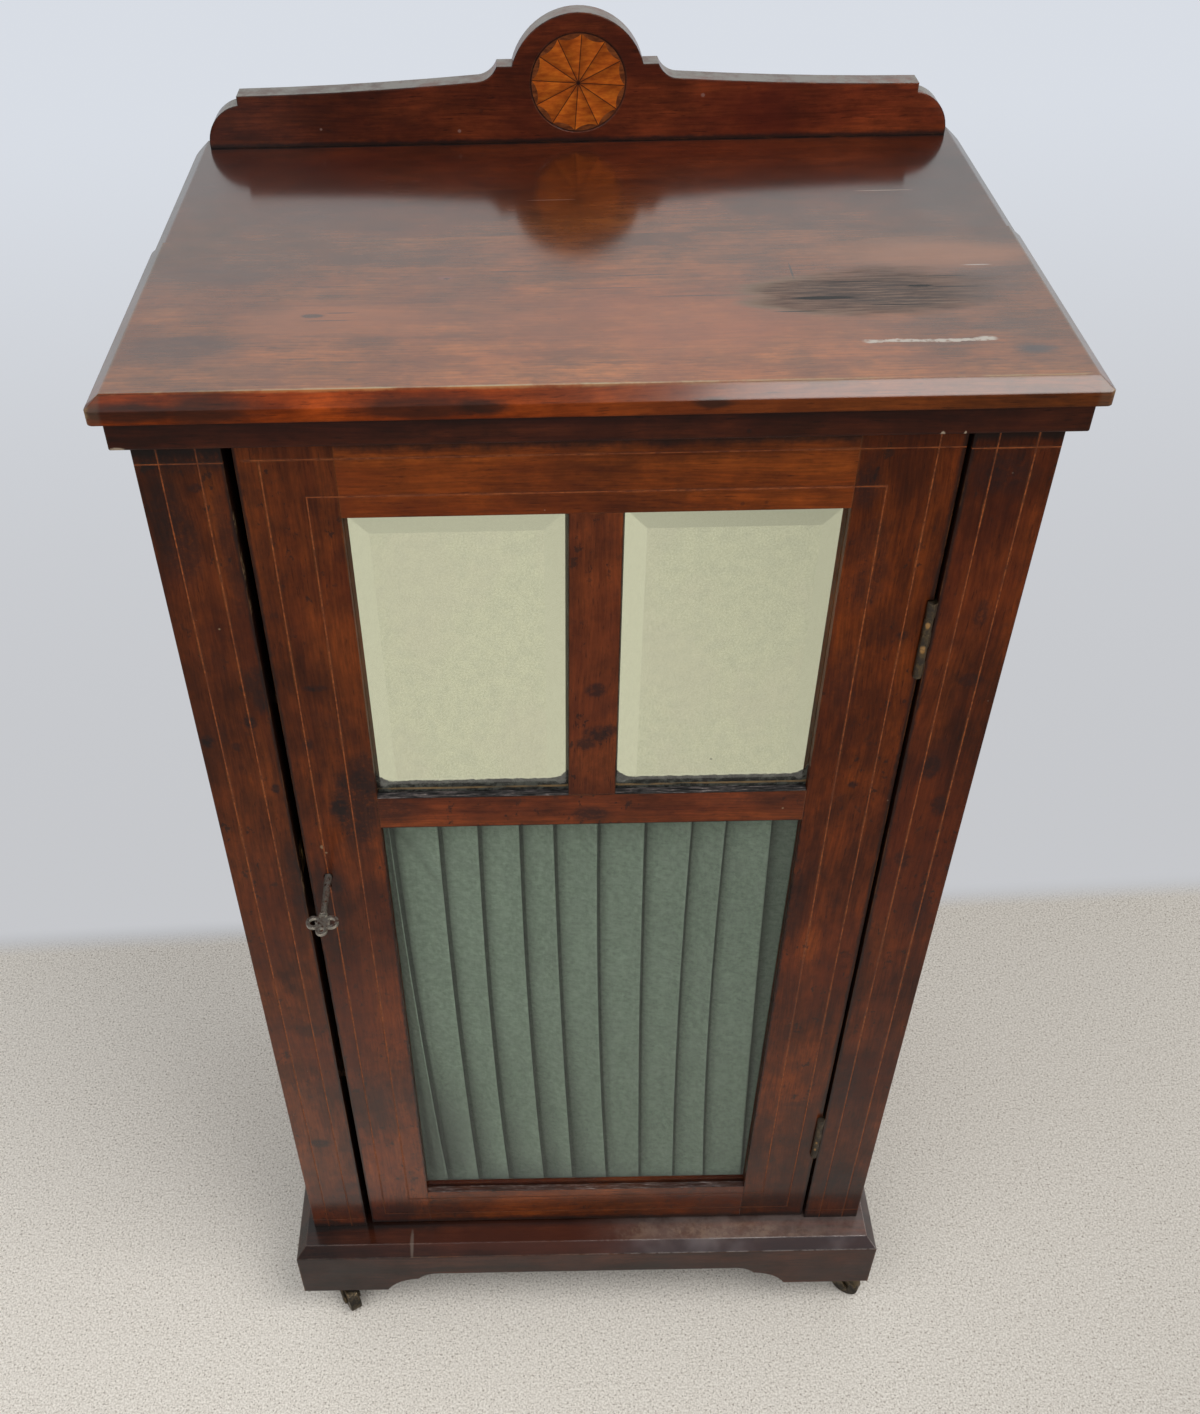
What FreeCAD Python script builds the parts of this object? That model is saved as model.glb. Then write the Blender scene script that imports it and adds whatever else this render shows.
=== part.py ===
# Inlaid mahogany music cabinet on four castors.
# One door holds two bevelled mirrors above a glass pane with a pleated curtain behind it.
# Millimetres. X to the right, Y to the back, Z up. While modelling, Y is 0 at the face of
# the front stiles. Every piece is moved along Y at the end, so that the origin lies on the
# floor under the middle of the cabinet's overall box.
import FreeCAD, Part
import math
import os

os.makedirs("parts", exist_ok=True)
V = FreeCAD.Vector

# Fits and clearances
slide_clearance = 0.2
turn_clearance = 0.3
glass_clearance = 2.0
board_clearance = 1.0
overcut = 5.0
touch = 0.01

# Castors
castor_height = 40.0
castor_inset = 16.0
castor_front_y = -3.0
castor_rear_inset = 37.0
castor_trail = 20.0
castor_turns = {"front_left": -60.0, "front_right": -35.0, "rear_left": 150.0, "rear_right": 100.0}
castor_plate_radius = 17.0
castor_plate_thickness = 2.0
castor_screw_circle = 12.5
castor_screw_turn = 45.0
castor_screw_spread = 60.0
wheel_radius = 13.5
wheel_width = 11.0
wheel_edge_round = 1.5
axle_radius = 2.0
axle_end = 0.5
pintle_radius = 3.0
pintle_length = 24.0
fork_crown_thickness = 3.5
fork_crown_radius = 9.0
fork_heel = 6.0
fork_arm_thickness = 2.0
fork_boss_radius = 4.5

# Plinth and base board
plinth_board_height = 61.35
plinth_board_thickness = 18.0
plinth_side_reach = 15.3
plinth_front_reach = 27.9
plinth_back_rise = 22.0
base_board_thickness = 9.65
base_chamfer_inset = 8.8
front_foot_length = 80.3
side_foot_length = 62.0
lower_lobe_width = 30.0
lower_lobe_rise = 20.5
upper_lobe_width = 19.0
upper_lobe_rise = 9.7
lower_lobe_middle = (0.36, 0.66)
upper_lobe_middle = (0.34, 0.64)
corner_block_size = 34.0

# Carcass
carcass_width = 508.0
carcass_height = 849.0
carcass_depth = 340.0
side_thickness = 14.0
front_stile_width = 49.0
front_stile_thickness = 20.0
back_board_thickness = 6.0
back_rebate_width = 7.0
back_board_count = 3
shelf_count = 3
shelf_thickness = 8.0
shelf_setback = 26.0
bearer_height = 12.0
bearer_thickness = 12.0
bearer_end_gap = 6.0
stop_height = 10.0
stop_thickness = 8.0
stop_end_gap = 5.0
stop_gap = 0.5

# Frieze, top and gallery
frieze_height = 17.6
frieze_side_reach = 8.0
frieze_front_reach = 10.4
frieze_front_width = 55.0
frieze_side_width = 40.0
frieze_round = 2.0
frieze_screw_inset = 12.0
top_edge_height = 8.1
top_bevel_rise = 6.5
top_side_reach = 16.1
top_front_reach = 13.6
top_side_bevel = 8.2
top_front_bevel = 7.6
top_rear_reach = 10.0
top_front_corner = 4.0
top_rear_corner = 12.0
top_joint_y = 180.0
top_rear_shrinkage = 1.3
gallery_thickness = 16.0
gallery_setback = 13.6
gallery_end_width = 23.0
gallery_end_height = 29.0
gallery_end_middle = (0.71, 0.70)
gallery_step_height = 35.0
gallery_neck_half_width = 68.0
gallery_neck_height = 41.3
gallery_neck_bend = 0.22
gallery_sag_half_width = 150.0
gallery_sag_height = 36.9
shoulder_half_width = 55.0
shoulder_height = 51.0
crest_radius = 46.5
crest_centre_height = 38.0
gallery_screw_half_spacing = 150.0

# Fan patera let into the gallery
patera_radius = 32.75
patera_height = 39.4
patera_x = 0.5
patera_depth = 1.5
patera_wedges = 12
patera_turn = 4.0
patera_ring_width = 0.9
patera_dot_radius = 1.2
patera_lens_depth = 3.4

# Door frame
door_gap_lock_side = 5.5
door_gap_hinge_side = 2.5
door_gap_ends = 3.0
door_setback = 1.5
door_thickness = 20.0
lock_stile_width = 55.0
hinge_stile_width = 58.0
top_rail_width = 50.6
bottom_rail_width = 52.0
mid_rail_width = 28.7
mid_rail_rise = 537.0
mullion_width = 31.5
lip_depth = 6.0
rebate_width = 7.0
tenon_thickness = 7.0
tenon_length = 32.0
tenon_haunch = 12.0
stub_tenon_length = 10.0

# Stringing, let in flush
string_width = 0.8
string_depth = 1.5
door_outer_string_left = 13.5
door_outer_string_right = 15.0
door_outer_string_top = 11.7
door_outer_string_bottom = 15.5
door_outer_string_start = 4.0
door_inner_string_side = 18.0
door_inner_string_top = 36.2
door_inner_string_bottom = 40.8
stile_string_insets = (14.0, 35.5)
stile_string_top = 15.0
stile_string_bottom = 13.0

# Mirrors, glass, beads and curtain. The folds are in parts of the curtain's width
mirror_thickness = 5.0
mirror_edge = 2.5
mirror_bevel = 19.0
mirror_seat_gap = 0.1
backboard_thickness = 5.0
glass_thickness = 3.0
bead_width = 6.5
bead_thickness = 3.5
rod_radius = 1.5
rod_inset = 3.5
rod_hole_depth = 6.0
casing_wall = 1.2
curtain_side_gap = 1.5
curtain_thickness = 1.2
curtain_depth = 6.0
curtain_return = 4.0
fold_ratios_top = (0.0223, 0.142, 0.2337, 0.3347, 0.4173, 0.516, 0.622, 0.7353, 0.818, 0.922)
fold_ratios_bottom = (0.0773, 0.172, 0.2667, 0.3647, 0.4593, 0.5577, 0.6617, 0.763, 0.8583, 0.969)

# Butt hinges
hinge_length = 57.0
hinge_rise = 135.0
hinge_drop = 147.0
hinge_axis_inset = 0.9
hinge_axis_y = 0.0
leaf_thickness = 1.15
leaf_rear_y = 16.0
leaf_screw_y = 8.5
leaf_screw_spacing = 20.0
knuckle_radius = 2.9
knuckle_count = 5
knuckle_gap = 0.3
pin_radius = 1.3
pin_play = 0.15
pin_cap_height = 0.8

# Lock, bolt and key
key_inset = 13.3
key_rise = 488.0
keyhole_radius = 3.25
keyhole_slot_width = 2.8
keyhole_slot_length = 11.0
bolt_layer_y = 12.2
bolt_thickness = 3.0
bolt_height = 7.5
bolt_underside = 6.5
bolt_tail = 16.0
bolt_throw = 9.0
bolt_recess = 0.2
bolt_end_gap = 1.0
key_turn_angle = 90.0
bit_steps = 40
bit_reach = 9.5
bit_half_thickness = 1.0
bit_side_clearance = 0.1
lock_cap_thickness = 1.2
lock_plate_thickness = 1.5
lock_plate_width = 32.0
lock_plate_height = 50.0
lock_screw_inset_x = 6.0
lock_screw_inset_z = 4.0
lock_block_below = 12.5
lock_block_above = 16.5
drill_pin_radius = 1.0
drill_pin_reach = 2.0
keeper_thickness = 1.2
keeper_margin_y = 4.5
keeper_margin_z = 10.0
key_shank_radius = 2.6
key_neck_radius = 2.0
key_shank_end_y = -33.0
key_collar_radius = 3.1
key_collar_length = 1.6
key_bow_thickness = 2.3
key_side_ring = (5.9, 5.8, 5.35, 3.05)
key_end_ring = (0.0, 13.0, 4.05, 1.75)
key_stem_half_width = 1.4
key_curl = (3.65, 5.8, 1.5)
key_bridge = (2.2, 10.3, 1.4)

# Screws as head radius, shank radius, head depth and length
leaf_screw = (2.6, 1.4, 1.5, 13.0)
castor_screw = (3.0, 1.6, 1.8, 15.0)
bearer_screw = (3.2, 1.7, 1.8, 20.0)
frieze_screw = (3.6, 2.0, 2.2, 26.0)
lock_screw = (2.0, 1.1, 1.2, 8.0)
screw_slot_width = 0.7
screw_slot_depth = 0.6
screw_sink = 0.1

# Levels and faces worked out from the sizes above
half_width = carcass_width / 2
base_z = castor_height + plinth_board_height
floor_z = base_z + base_board_thickness
carcass_top = floor_z + carcass_height
top_z = carcass_top + frieze_height
top_half_width = half_width + top_side_reach
gallery_half_width = top_half_width - gallery_setback
top_edge_z = top_z + top_edge_height
surface_z = top_edge_z + top_bevel_rise
opening_half = half_width - front_stile_width
inner_half = half_width - side_thickness
back_face_y = carcass_depth - back_board_thickness
top_rear_y = carcass_depth + top_rear_reach
gallery_front_y = top_rear_y - gallery_thickness
plinth_half = half_width + plinth_side_reach
plinth_inner_half = plinth_half - plinth_board_thickness
plinth_inner_front = plinth_board_thickness - plinth_front_reach
plinth_inner_back = carcass_depth - plinth_board_thickness
castor_x = half_width - castor_inset
castor_rear_y = carcass_depth - castor_rear_inset
crown_top_z = castor_height - castor_plate_thickness - turn_clearance

door_left = -(opening_half - door_gap_lock_side)
door_right = opening_half - door_gap_hinge_side
door_bottom = floor_z + door_gap_ends
door_top = carcass_top - door_gap_ends
door_face = door_setback
door_back = door_face + door_thickness
lip_back = door_face + lip_depth
sight_left = door_left + lock_stile_width
sight_right = door_right - hinge_stile_width
bottom_sight = door_bottom + bottom_rail_width
mid_rail_bottom = door_bottom + mid_rail_rise
mid_rail_top = mid_rail_bottom + mid_rail_width
top_sight = door_top - top_rail_width
mullion_half = mullion_width / 2
tenon_front = (lip_back + door_back - tenon_thickness) / 2
tenon_back = tenon_front + tenon_thickness
stop_front_y = door_back + stop_gap

hinge_axis_x = door_right - hinge_axis_inset
key_x = door_left + key_inset
key_z = door_bottom + key_rise
bolt_back_y = bolt_layer_y + bolt_thickness
bolt_bottom_z = key_z + bolt_underside
bolt_top_z = bolt_bottom_z + bolt_height
bolt_left = door_left + bolt_recess
layer_front_y = bolt_layer_y - slide_clearance
layer_back_y = bolt_back_y + slide_clearance
lock_cap_y = layer_front_y - lock_cap_thickness
lock_plate_y = door_back - lock_plate_thickness
drill_pin_tip_y = lock_cap_y - drill_pin_reach
lock_plate_right = door_left + lock_plate_width
key_bow_y = key_shank_end_y - key_collar_length
key_tip_y = key_bow_y - key_end_ring[1] - key_end_ring[2]

rod_front_y = lip_back + glass_thickness + bead_thickness + turn_clearance
rod_y = rod_front_y + curtain_depth / 2
rod_zs = (bottom_sight - rod_inset, mid_rail_bottom + rod_inset)

middle_y = (top_rear_y + key_tip_y) / 2
pieces = {}


# Small helpers

def box(x0, x1, y0, y1, z0, z1):
    return Part.makeBox(x1 - x0, y1 - y0, z1 - z0, V(x0, y0, z0))


def rod(radius, start, direction, length):
    return Part.makeCylinder(radius, length, V(*start), V(*direction))


def prism(points, direction):
    wire = Part.makePolygon([V(*p) for p in points + [points[0]]])
    return Part.Face(wire).extrude(V(*direction))


def plan_prism(points, z0, z1):
    return prism([(x, y, z0) for x, y in points], (0, 0, z1 - z0))


def elevation_prism(points, y0, y1):
    return prism([(x, y0, z) for x, z in points], (0, y1 - y0, 0))


def line(a, b):
    return Part.makeLine(V(*a), V(*b))


def arc(a, b, c):
    return Part.Arc(V(*a), V(*b), V(*c)).toShape()


def fuse(shapes):
    return shapes[0].multiFuse(shapes[1:]).removeSplitter()


def mirrored(shape):
    return shape.mirror(V(0, 0, 0), V(1, 0, 0))


def cut_all(shape, tools):
    for tool in tools:
        shape = shape.cut(tool)
    return shape


def keep(name, solids):
    pieces[name] = solids if isinstance(solids, list) else [solids]


# Screws: the plug is the hole that a screw fills, and the screw is the plug with its slot

def placed(shape, point, direction):
    turn = FreeCAD.Rotation(V(0, 0, 1), V(*direction))
    shape.Placement = FreeCAD.Placement(V(*point), turn)
    return shape


def screw_blank(size):
    head_radius, shank_radius, head_depth, length = size
    head = Part.makeCone(head_radius, shank_radius, head_depth)
    return head.fuse(Part.makeCylinder(shank_radius, length))


def screw_plug(size, point, direction):
    return placed(screw_blank(size), point, direction)


def screw(size, point, direction):
    reach = size[0]
    slot = box(-reach, reach, -screw_slot_width / 2, screw_slot_width / 2, 0, screw_slot_depth)
    return placed(screw_blank(size).cut(slot), point, direction)


# Carcass sides, stiles, shelves and back

def shelf_bottoms():
    clear = (carcass_height - shelf_count * shelf_thickness) / (shelf_count + 1)
    pitch = clear + shelf_thickness
    return [floor_z + clear + pitch * i for i in range(shelf_count)]


def bearer_screw_places():
    middle = (shelf_setback + back_face_y) / 2
    reach = (back_face_y - shelf_setback) / 3
    places = []
    for z in shelf_bottoms():
        for y in (middle - reach, middle + reach):
            places.append((y, z - bearer_height / 2))
    return places


def stile_stringing():
    solids = []
    for side in (-1, 1):
        bars = []
        for inset in stile_string_insets:
            x = side * (opening_half + inset)
            half = string_width / 2
            bars.append(box(x - half, x + half, 0, string_depth, floor_z, carcass_top))
        for z in (carcass_top - stile_string_top, floor_z + stile_string_bottom):
            xs = sorted((side * opening_half, side * half_width))
            half = string_width / 2
            bars.append(box(xs[0], xs[1], 0, string_depth, z - half, z + half))
        solids.append(fuse(bars))
    return solids


def bolt_mortise(depth, margin):
    left = -opening_half - depth
    gap = slide_clearance + margin
    return box(left, -opening_half + overcut, bolt_layer_y - gap, bolt_back_y + gap,
               bolt_bottom_z - gap, bolt_top_z + gap)


def make_carcass():
    strings = stile_stringing()
    keep("stile_stringing", strings)
    hinge_holes = [screw_plug(leaf_screw, p, d) for p, d in case_leaf_screws()]
    bolt_reach = bolt_throw - bolt_recess - door_gap_lock_side
    for side, name in ((-1, "left"), (1, "right")):
        panel = box(inner_half, half_width, front_stile_thickness, carcass_depth,
                    floor_z, carcass_top)
        rebate = box(inner_half - overcut, inner_half + back_rebate_width, back_face_y,
                     carcass_depth + overcut, floor_z - overcut, carcass_top + overcut)
        panel = panel.cut(rebate)
        for y, z in bearer_screw_places():
            head_x = inner_half - bearer_thickness + screw_sink
            panel = panel.cut(screw_plug(bearer_screw, (head_x, y, z), (1, 0, 0)))
        stile = box(opening_half, half_width, 0, front_stile_thickness, floor_z, carcass_top)
        if side < 0:
            panel = mirrored(panel)
            stile = mirrored(stile)
            stile = stile.cut(bolt_mortise(bolt_reach + bolt_end_gap, slide_clearance))
            stile = stile.cut(keeper_plate_blank())
            stile = stile.cut(strings[0])
        else:
            stile = cut_all(stile, hinge_holes + [strings[1]])
        keep("side_" + name, panel)
        keep("stile_" + name, stile)

    bearers = []
    for number, z in enumerate(shelf_bottoms(), 1):
        keep("shelf_%d" % number,
             box(-inner_half, inner_half, shelf_setback, back_face_y, z, z + shelf_thickness))
        for side in (-1, 1):
            bearer = box(inner_half - bearer_thickness, inner_half, shelf_setback + bearer_end_gap,
                         back_face_y - bearer_end_gap, z - bearer_height, z)
            for y, screw_z in bearer_screw_places():
                head_x = inner_half - bearer_thickness + screw_sink
                bearer = bearer.cut(screw_plug(bearer_screw, (head_x, y, screw_z), (1, 0, 0)))
            bearers.append(bearer if side > 0 else mirrored(bearer))
    keep("shelf_bearers", bearers)

    back_half = inner_half + back_rebate_width
    board = 2 * back_half / back_board_count
    boards = []
    for i in range(back_board_count):
        left = -back_half + board * i
        boards.append(box(left, left + board, back_face_y, carcass_depth, floor_z, carcass_top))
    keep("back_boards", boards)

    stop_half = opening_half - stop_end_gap
    stops = []
    for z in (floor_z, carcass_top - stop_height):
        stops.append(box(-stop_half, stop_half, stop_front_y, stop_front_y + stop_thickness,
                         z, z + stop_height))
    keep("door_stops", stops)


# Base board, plinth boards and corner blocks

def arch_profile(half, place):
    foot = castor_height
    cusp_z = foot + lower_lobe_rise
    arch_z = cusp_z + upper_lobe_rise
    cusp = half - lower_lobe_width
    crown = cusp - upper_lobe_width
    right = [(half, foot - overcut), (half, foot),
             (half - lower_lobe_middle[0] * lower_lobe_width,
              foot + lower_lobe_middle[1] * lower_lobe_rise), (cusp, cusp_z),
             (cusp - upper_lobe_middle[0] * upper_lobe_width,
              cusp_z + upper_lobe_middle[1] * upper_lobe_rise), (crown, arch_z)]
    left = [(-u, z) for u, z in right]
    p = [place(u, z) for u, z in right]
    q = [place(u, z) for u, z in left]
    edges = [line(q[0], p[0]), line(p[0], p[1]), arc(p[1], p[2], p[3]), arc(p[3], p[4], p[5]),
             line(p[5], q[5]), arc(q[5], q[4], q[3]), arc(q[3], q[2], q[1]), line(q[1], q[0])]
    return Part.Face(Part.Wire(edges))


def make_base():
    front = -plinth_front_reach
    chamfer_z = base_z + base_board_thickness
    inset = base_chamfer_inset
    board = box(-plinth_half, plinth_half, front, carcass_depth, base_z, chamfer_z)
    corner = [(plinth_half, base_z), (plinth_half - inset, chamfer_z),
              (plinth_half - inset, chamfer_z + overcut), (plinth_half + overcut, chamfer_z + overcut),
              (plinth_half + overcut, base_z)]
    side_wedge = elevation_prism(corner, front - overcut, carcass_depth + overcut)
    front_points = [(front, base_z), (front + inset, chamfer_z), (front + inset, chamfer_z + overcut),
                    (front - overcut, chamfer_z + overcut), (front - overcut, base_z)]
    front_wedge = prism([(-plinth_half - overcut, y, z) for y, z in front_points],
                        (2 * (plinth_half + overcut), 0, 0))
    keep("base_board", cut_all(board, [side_wedge, mirrored(side_wedge), front_wedge]))

    plan = [(-plinth_half, front), (plinth_half, front), (plinth_inner_half, plinth_inner_front),
            (-plinth_inner_half, plinth_inner_front)]
    plinth_front = plan_prism(plan, castor_height, base_z)
    front_arch = arch_profile(plinth_half - front_foot_length, lambda u, z: (u, front - overcut, z))
    plinth_front = plinth_front.cut(front_arch.extrude(V(0, plinth_board_thickness + 2 * overcut, 0)))
    keep("plinth_front", plinth_front)

    plan = [(plinth_half, front), (plinth_half, carcass_depth), (plinth_inner_half, carcass_depth),
            (plinth_inner_half, plinth_inner_front)]
    plinth_side = plan_prism(plan, castor_height, base_z)
    length = carcass_depth - front
    middle = front + length / 2
    side_arch = arch_profile(length / 2 - side_foot_length,
                             lambda u, z: (plinth_inner_half - overcut, middle + u, z))
    plinth_side = plinth_side.cut(side_arch.extrude(V(plinth_board_thickness + 2 * overcut, 0, 0)))
    keep("plinth_right", plinth_side)
    keep("plinth_left", mirrored(plinth_side))
    keep("plinth_back", box(-plinth_inner_half, plinth_inner_half, plinth_inner_back, carcass_depth,
                            castor_height + plinth_back_rise, base_z))

    blocks = []
    for x_side, y_side, name in castor_corners():
        x0 = plinth_inner_half - corner_block_size
        y0 = plinth_inner_front if y_side < 0 else plinth_inner_back - corner_block_size
        block = box(x0, plinth_inner_half, y0, y0 + corner_block_size, castor_height, base_z)
        if x_side < 0:
            block = mirrored(block)
        place = castor_place(x_side, y_side)
        socket = rod(pintle_radius + turn_clearance, (place[0], place[1], castor_height - overcut),
                     (0, 0, 1), pintle_length + overcut)
        block = block.cut(socket)
        for point in castor_screw_points(x_side, y_side):
            block = block.cut(screw_plug(castor_screw, point, (0, 0, 1)))
        blocks.append(block)
    keep("corner_blocks", blocks)


# Castors

def castor_corners():
    return [(-1, -1, "front_left"), (1, -1, "front_right"), (-1, 1, "rear_left"), (1, 1, "rear_right")]


def castor_place(x_side, y_side):
    return (x_side * castor_x, castor_front_y if y_side < 0 else castor_rear_y)


def castor_screw_points(x_side, y_side):
    x, y = castor_place(x_side, y_side)
    z = castor_height - castor_plate_thickness + screw_sink
    points = []
    for turn in (-castor_screw_spread, 0.0, castor_screw_spread):
        angle = math.radians(castor_screw_turn + turn)
        points.append((x - x_side * castor_screw_circle * math.cos(angle),
                       y - y_side * castor_screw_circle * math.sin(angle), z))
    return points


def castor_fork():
    crown_z = crown_top_z - fork_crown_thickness
    inner = wheel_width / 2 + 2 * turn_clearance
    outer = inner + fork_arm_thickness
    crown = rod(fork_crown_radius, (0, 0, crown_z), (0, 0, 1), fork_crown_thickness)
    pintle = rod(pintle_radius, (0, 0, crown_z), (0, 0, 1),
                 fork_crown_thickness + pintle_length)
    bridge = box(-fork_heel, fork_crown_radius, -outer, outer, crown_z, crown_top_z)
    web = [(-fork_heel, crown_top_z), (fork_crown_radius, crown_top_z),
           (castor_trail + fork_boss_radius, wheel_radius),
           (castor_trail - fork_boss_radius, wheel_radius)]
    solids = [crown, pintle, bridge]
    for side in (-1, 1):
        y0 = min(side * inner, side * outer)
        arm = elevation_prism(web, y0, y0 + fork_arm_thickness)
        boss = rod(fork_boss_radius, (castor_trail, y0, wheel_radius), (0, 1, 0), fork_arm_thickness)
        solids += [arm, boss]
    axle_length = 2 * (outer + axle_end)
    axle = rod(axle_radius, (castor_trail, -axle_length / 2, wheel_radius), (0, 1, 0), axle_length)
    return [fuse(solids).cut(axle), axle]


def castor_wheel():
    wheel = rod(wheel_radius, (castor_trail, -wheel_width / 2, wheel_radius), (0, 1, 0), wheel_width)
    wheel = wheel.makeFillet(wheel_edge_round, [e for e in wheel.Edges if len(e.Vertexes) == 1])
    bore = rod(axle_radius + turn_clearance, (castor_trail, -wheel_width, wheel_radius), (0, 1, 0),
               2 * wheel_width)
    return wheel.cut(bore)


def make_castors():
    plates = []
    for x_side, y_side, name in castor_corners():
        x, y = castor_place(x_side, y_side)
        z = castor_height - castor_plate_thickness
        plate = rod(castor_plate_radius, (x, y, z), (0, 0, 1), castor_plate_thickness)
        plate = plate.cut(rod(pintle_radius + turn_clearance, (x, y, z - overcut), (0, 0, 1),
                              castor_plate_thickness + 2 * overcut))
        for point in castor_screw_points(x_side, y_side):
            plate = plate.cut(screw_plug(castor_screw, point, (0, 0, 1)))
        plates.append(plate)
        for kind, solids in (("fork", castor_fork()), ("wheel", [castor_wheel()])):
            for solid in solids:
                solid.rotate(V(0, 0, 0), V(0, 0, 1), castor_turns[name])
                solid.translate(V(x, y, 0))
            keep("castor_%s_%s" % (kind, name), solids)
    keep("castor_plates", plates)


# Frieze frame and top

def frieze_bar(x0, x1, y0, y1, rounded_x, rounded_y):
    bar = box(x0, x1, y0, y1, carcass_top, top_z)
    lower = []
    for edge in bar.Edges:
        middle = edge.CenterOfMass
        on_x = rounded_x is not None and abs(middle.x - rounded_x) < touch
        on_y = rounded_y is not None and abs(middle.y - rounded_y) < touch
        if abs(middle.z - carcass_top) < touch and (on_x or on_y):
            lower.append(edge)
    return bar.makeFillet(frieze_round, lower) if lower else bar


def make_frieze():
    half = half_width + frieze_side_reach
    front = -frieze_front_reach
    inner = half - frieze_side_width
    inner_front = front + frieze_front_width
    inner_back = carcass_depth - frieze_side_width
    outer = [(-half, front), (half, front), (half, carcass_depth), (-half, carcass_depth)]
    inside = [(-inner, inner_front), (inner, inner_front), (inner, inner_back), (-inner, inner_back)]
    bars = {"front": frieze_bar(-half, half, front, inner_front, None, front),
            "right": frieze_bar(inner, half, front, carcass_depth, half, None),
            "back": frieze_bar(-half, half, inner_back, carcass_depth, None, None),
            "left": frieze_bar(-half, -inner, front, carcass_depth, -half, None)}
    holes = [screw_plug(frieze_screw, p, d) for p, d in frieze_screws()]
    for i, name in enumerate(("front", "right", "back", "left")):
        j = (i + 1) % 4
        plan = [outer[i], outer[j], inside[j], inside[i]]
        member = bars[name].common(plan_prism(plan, carcass_top, top_z))
        keep("frieze_" + name, cut_all(member, holes))


def frieze_screws():
    z = carcass_top + screw_sink
    front_y = frieze_front_width - frieze_front_reach - frieze_screw_inset
    back_y = carcass_depth - frieze_side_width + frieze_screw_inset
    places = []
    for x in (-inner_half / 2, inner_half / 2):
        places += [((x, front_y, z), (0, 0, 1)), ((x, back_y, z), (0, 0, 1))]
    return places


def gallery_screws():
    y = top_rear_y - gallery_thickness / 2
    spacing = gallery_screw_half_spacing
    return [((x, y, top_z + screw_sink), (0, 0, 1)) for x in (-spacing, 0.0, spacing)]


def top_board(y0, y1, half, corner_radius, at_front):
    board = box(-half, half, y0, y1, top_z, surface_z)
    corner_y = y0 if at_front else y1
    corners = []
    for edge in board.Edges:
        middle = edge.CenterOfMass
        upright = abs(edge.Vertexes[0].Z - edge.Vertexes[1].Z) > touch
        if upright and abs(middle.y - corner_y) < touch:
            corners.append(edge)
    board = board.makeFillet(corner_radius, corners)
    side = [(half, top_edge_z), (half - top_side_bevel, surface_z),
            (half - top_side_bevel, surface_z + overcut), (half + overcut, surface_z + overcut),
            (half + overcut, top_edge_z)]
    wedge = elevation_prism(side, y0 - overcut, y1 + overcut)
    board = cut_all(board, [wedge, mirrored(wedge)])
    if at_front:
        front = [(y0, top_edge_z), (y0 + top_front_bevel, surface_z),
                 (y0 + top_front_bevel, surface_z + overcut), (y0 - overcut, surface_z + overcut),
                 (y0 - overcut, top_edge_z)]
        front_wedge = prism([(-half - overcut, y, z) for y, z in front], (2 * (half + overcut), 0, 0))
        board = board.cut(front_wedge)
    holes = [screw_plug(frieze_screw, p, d) for p, d in frieze_screws() + gallery_screws()]
    return cut_all(board, holes)


def make_top():
    half = top_half_width
    keep("top_board_front", top_board(-top_front_reach, top_joint_y, half, top_front_corner, True))
    keep("top_board_rear", top_board(top_joint_y, top_rear_y, half - top_rear_shrinkage,
                                     top_rear_corner, False))


# Gallery with its fan patera

def gallery_face(y):
    z = surface_z
    step_x = gallery_half_width - gallery_end_width
    end_mid = (step_x + gallery_end_middle[0] * gallery_end_width,
               gallery_end_middle[1] * gallery_end_height)
    crest_x = math.sqrt(crest_radius ** 2 - (shoulder_height - crest_centre_height) ** 2)
    neck_mid = ((gallery_neck_half_width + shoulder_half_width) / 2,
                gallery_neck_height + gallery_neck_bend * (shoulder_height - gallery_neck_height))
    right = [(gallery_half_width, 0), end_mid, (step_x, gallery_end_height),
             (step_x, gallery_step_height), (gallery_sag_half_width, gallery_sag_height),
             (gallery_neck_half_width, gallery_neck_height), neck_mid,
             (shoulder_half_width, shoulder_height), (crest_x, shoulder_height)]
    p = [(u, y, z + h) for u, h in right]
    q = [(-u, y, z + h) for u, h in right]
    peak = (0, y, z + crest_centre_height + crest_radius)
    edges = [line(q[0], p[0])]
    edges += [arc(p[0], p[1], p[2]), line(p[2], p[3]), arc(p[3], p[4], p[5]), arc(p[5], p[6], p[7])]
    edges += [line(p[7], p[8]), arc(p[8], peak, q[8]), line(q[8], q[7])]
    edges += [arc(q[7], q[6], q[5]), arc(q[5], q[4], q[3]), line(q[3], q[2]), arc(q[2], q[1], q[0])]
    return Part.Face(Part.Wire(edges))


def on_patera(radius, degrees):
    angle = math.radians(degrees)
    return (patera_x + radius * math.sin(angle), gallery_front_y,
            surface_z + patera_height + radius * math.cos(angle))


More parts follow.
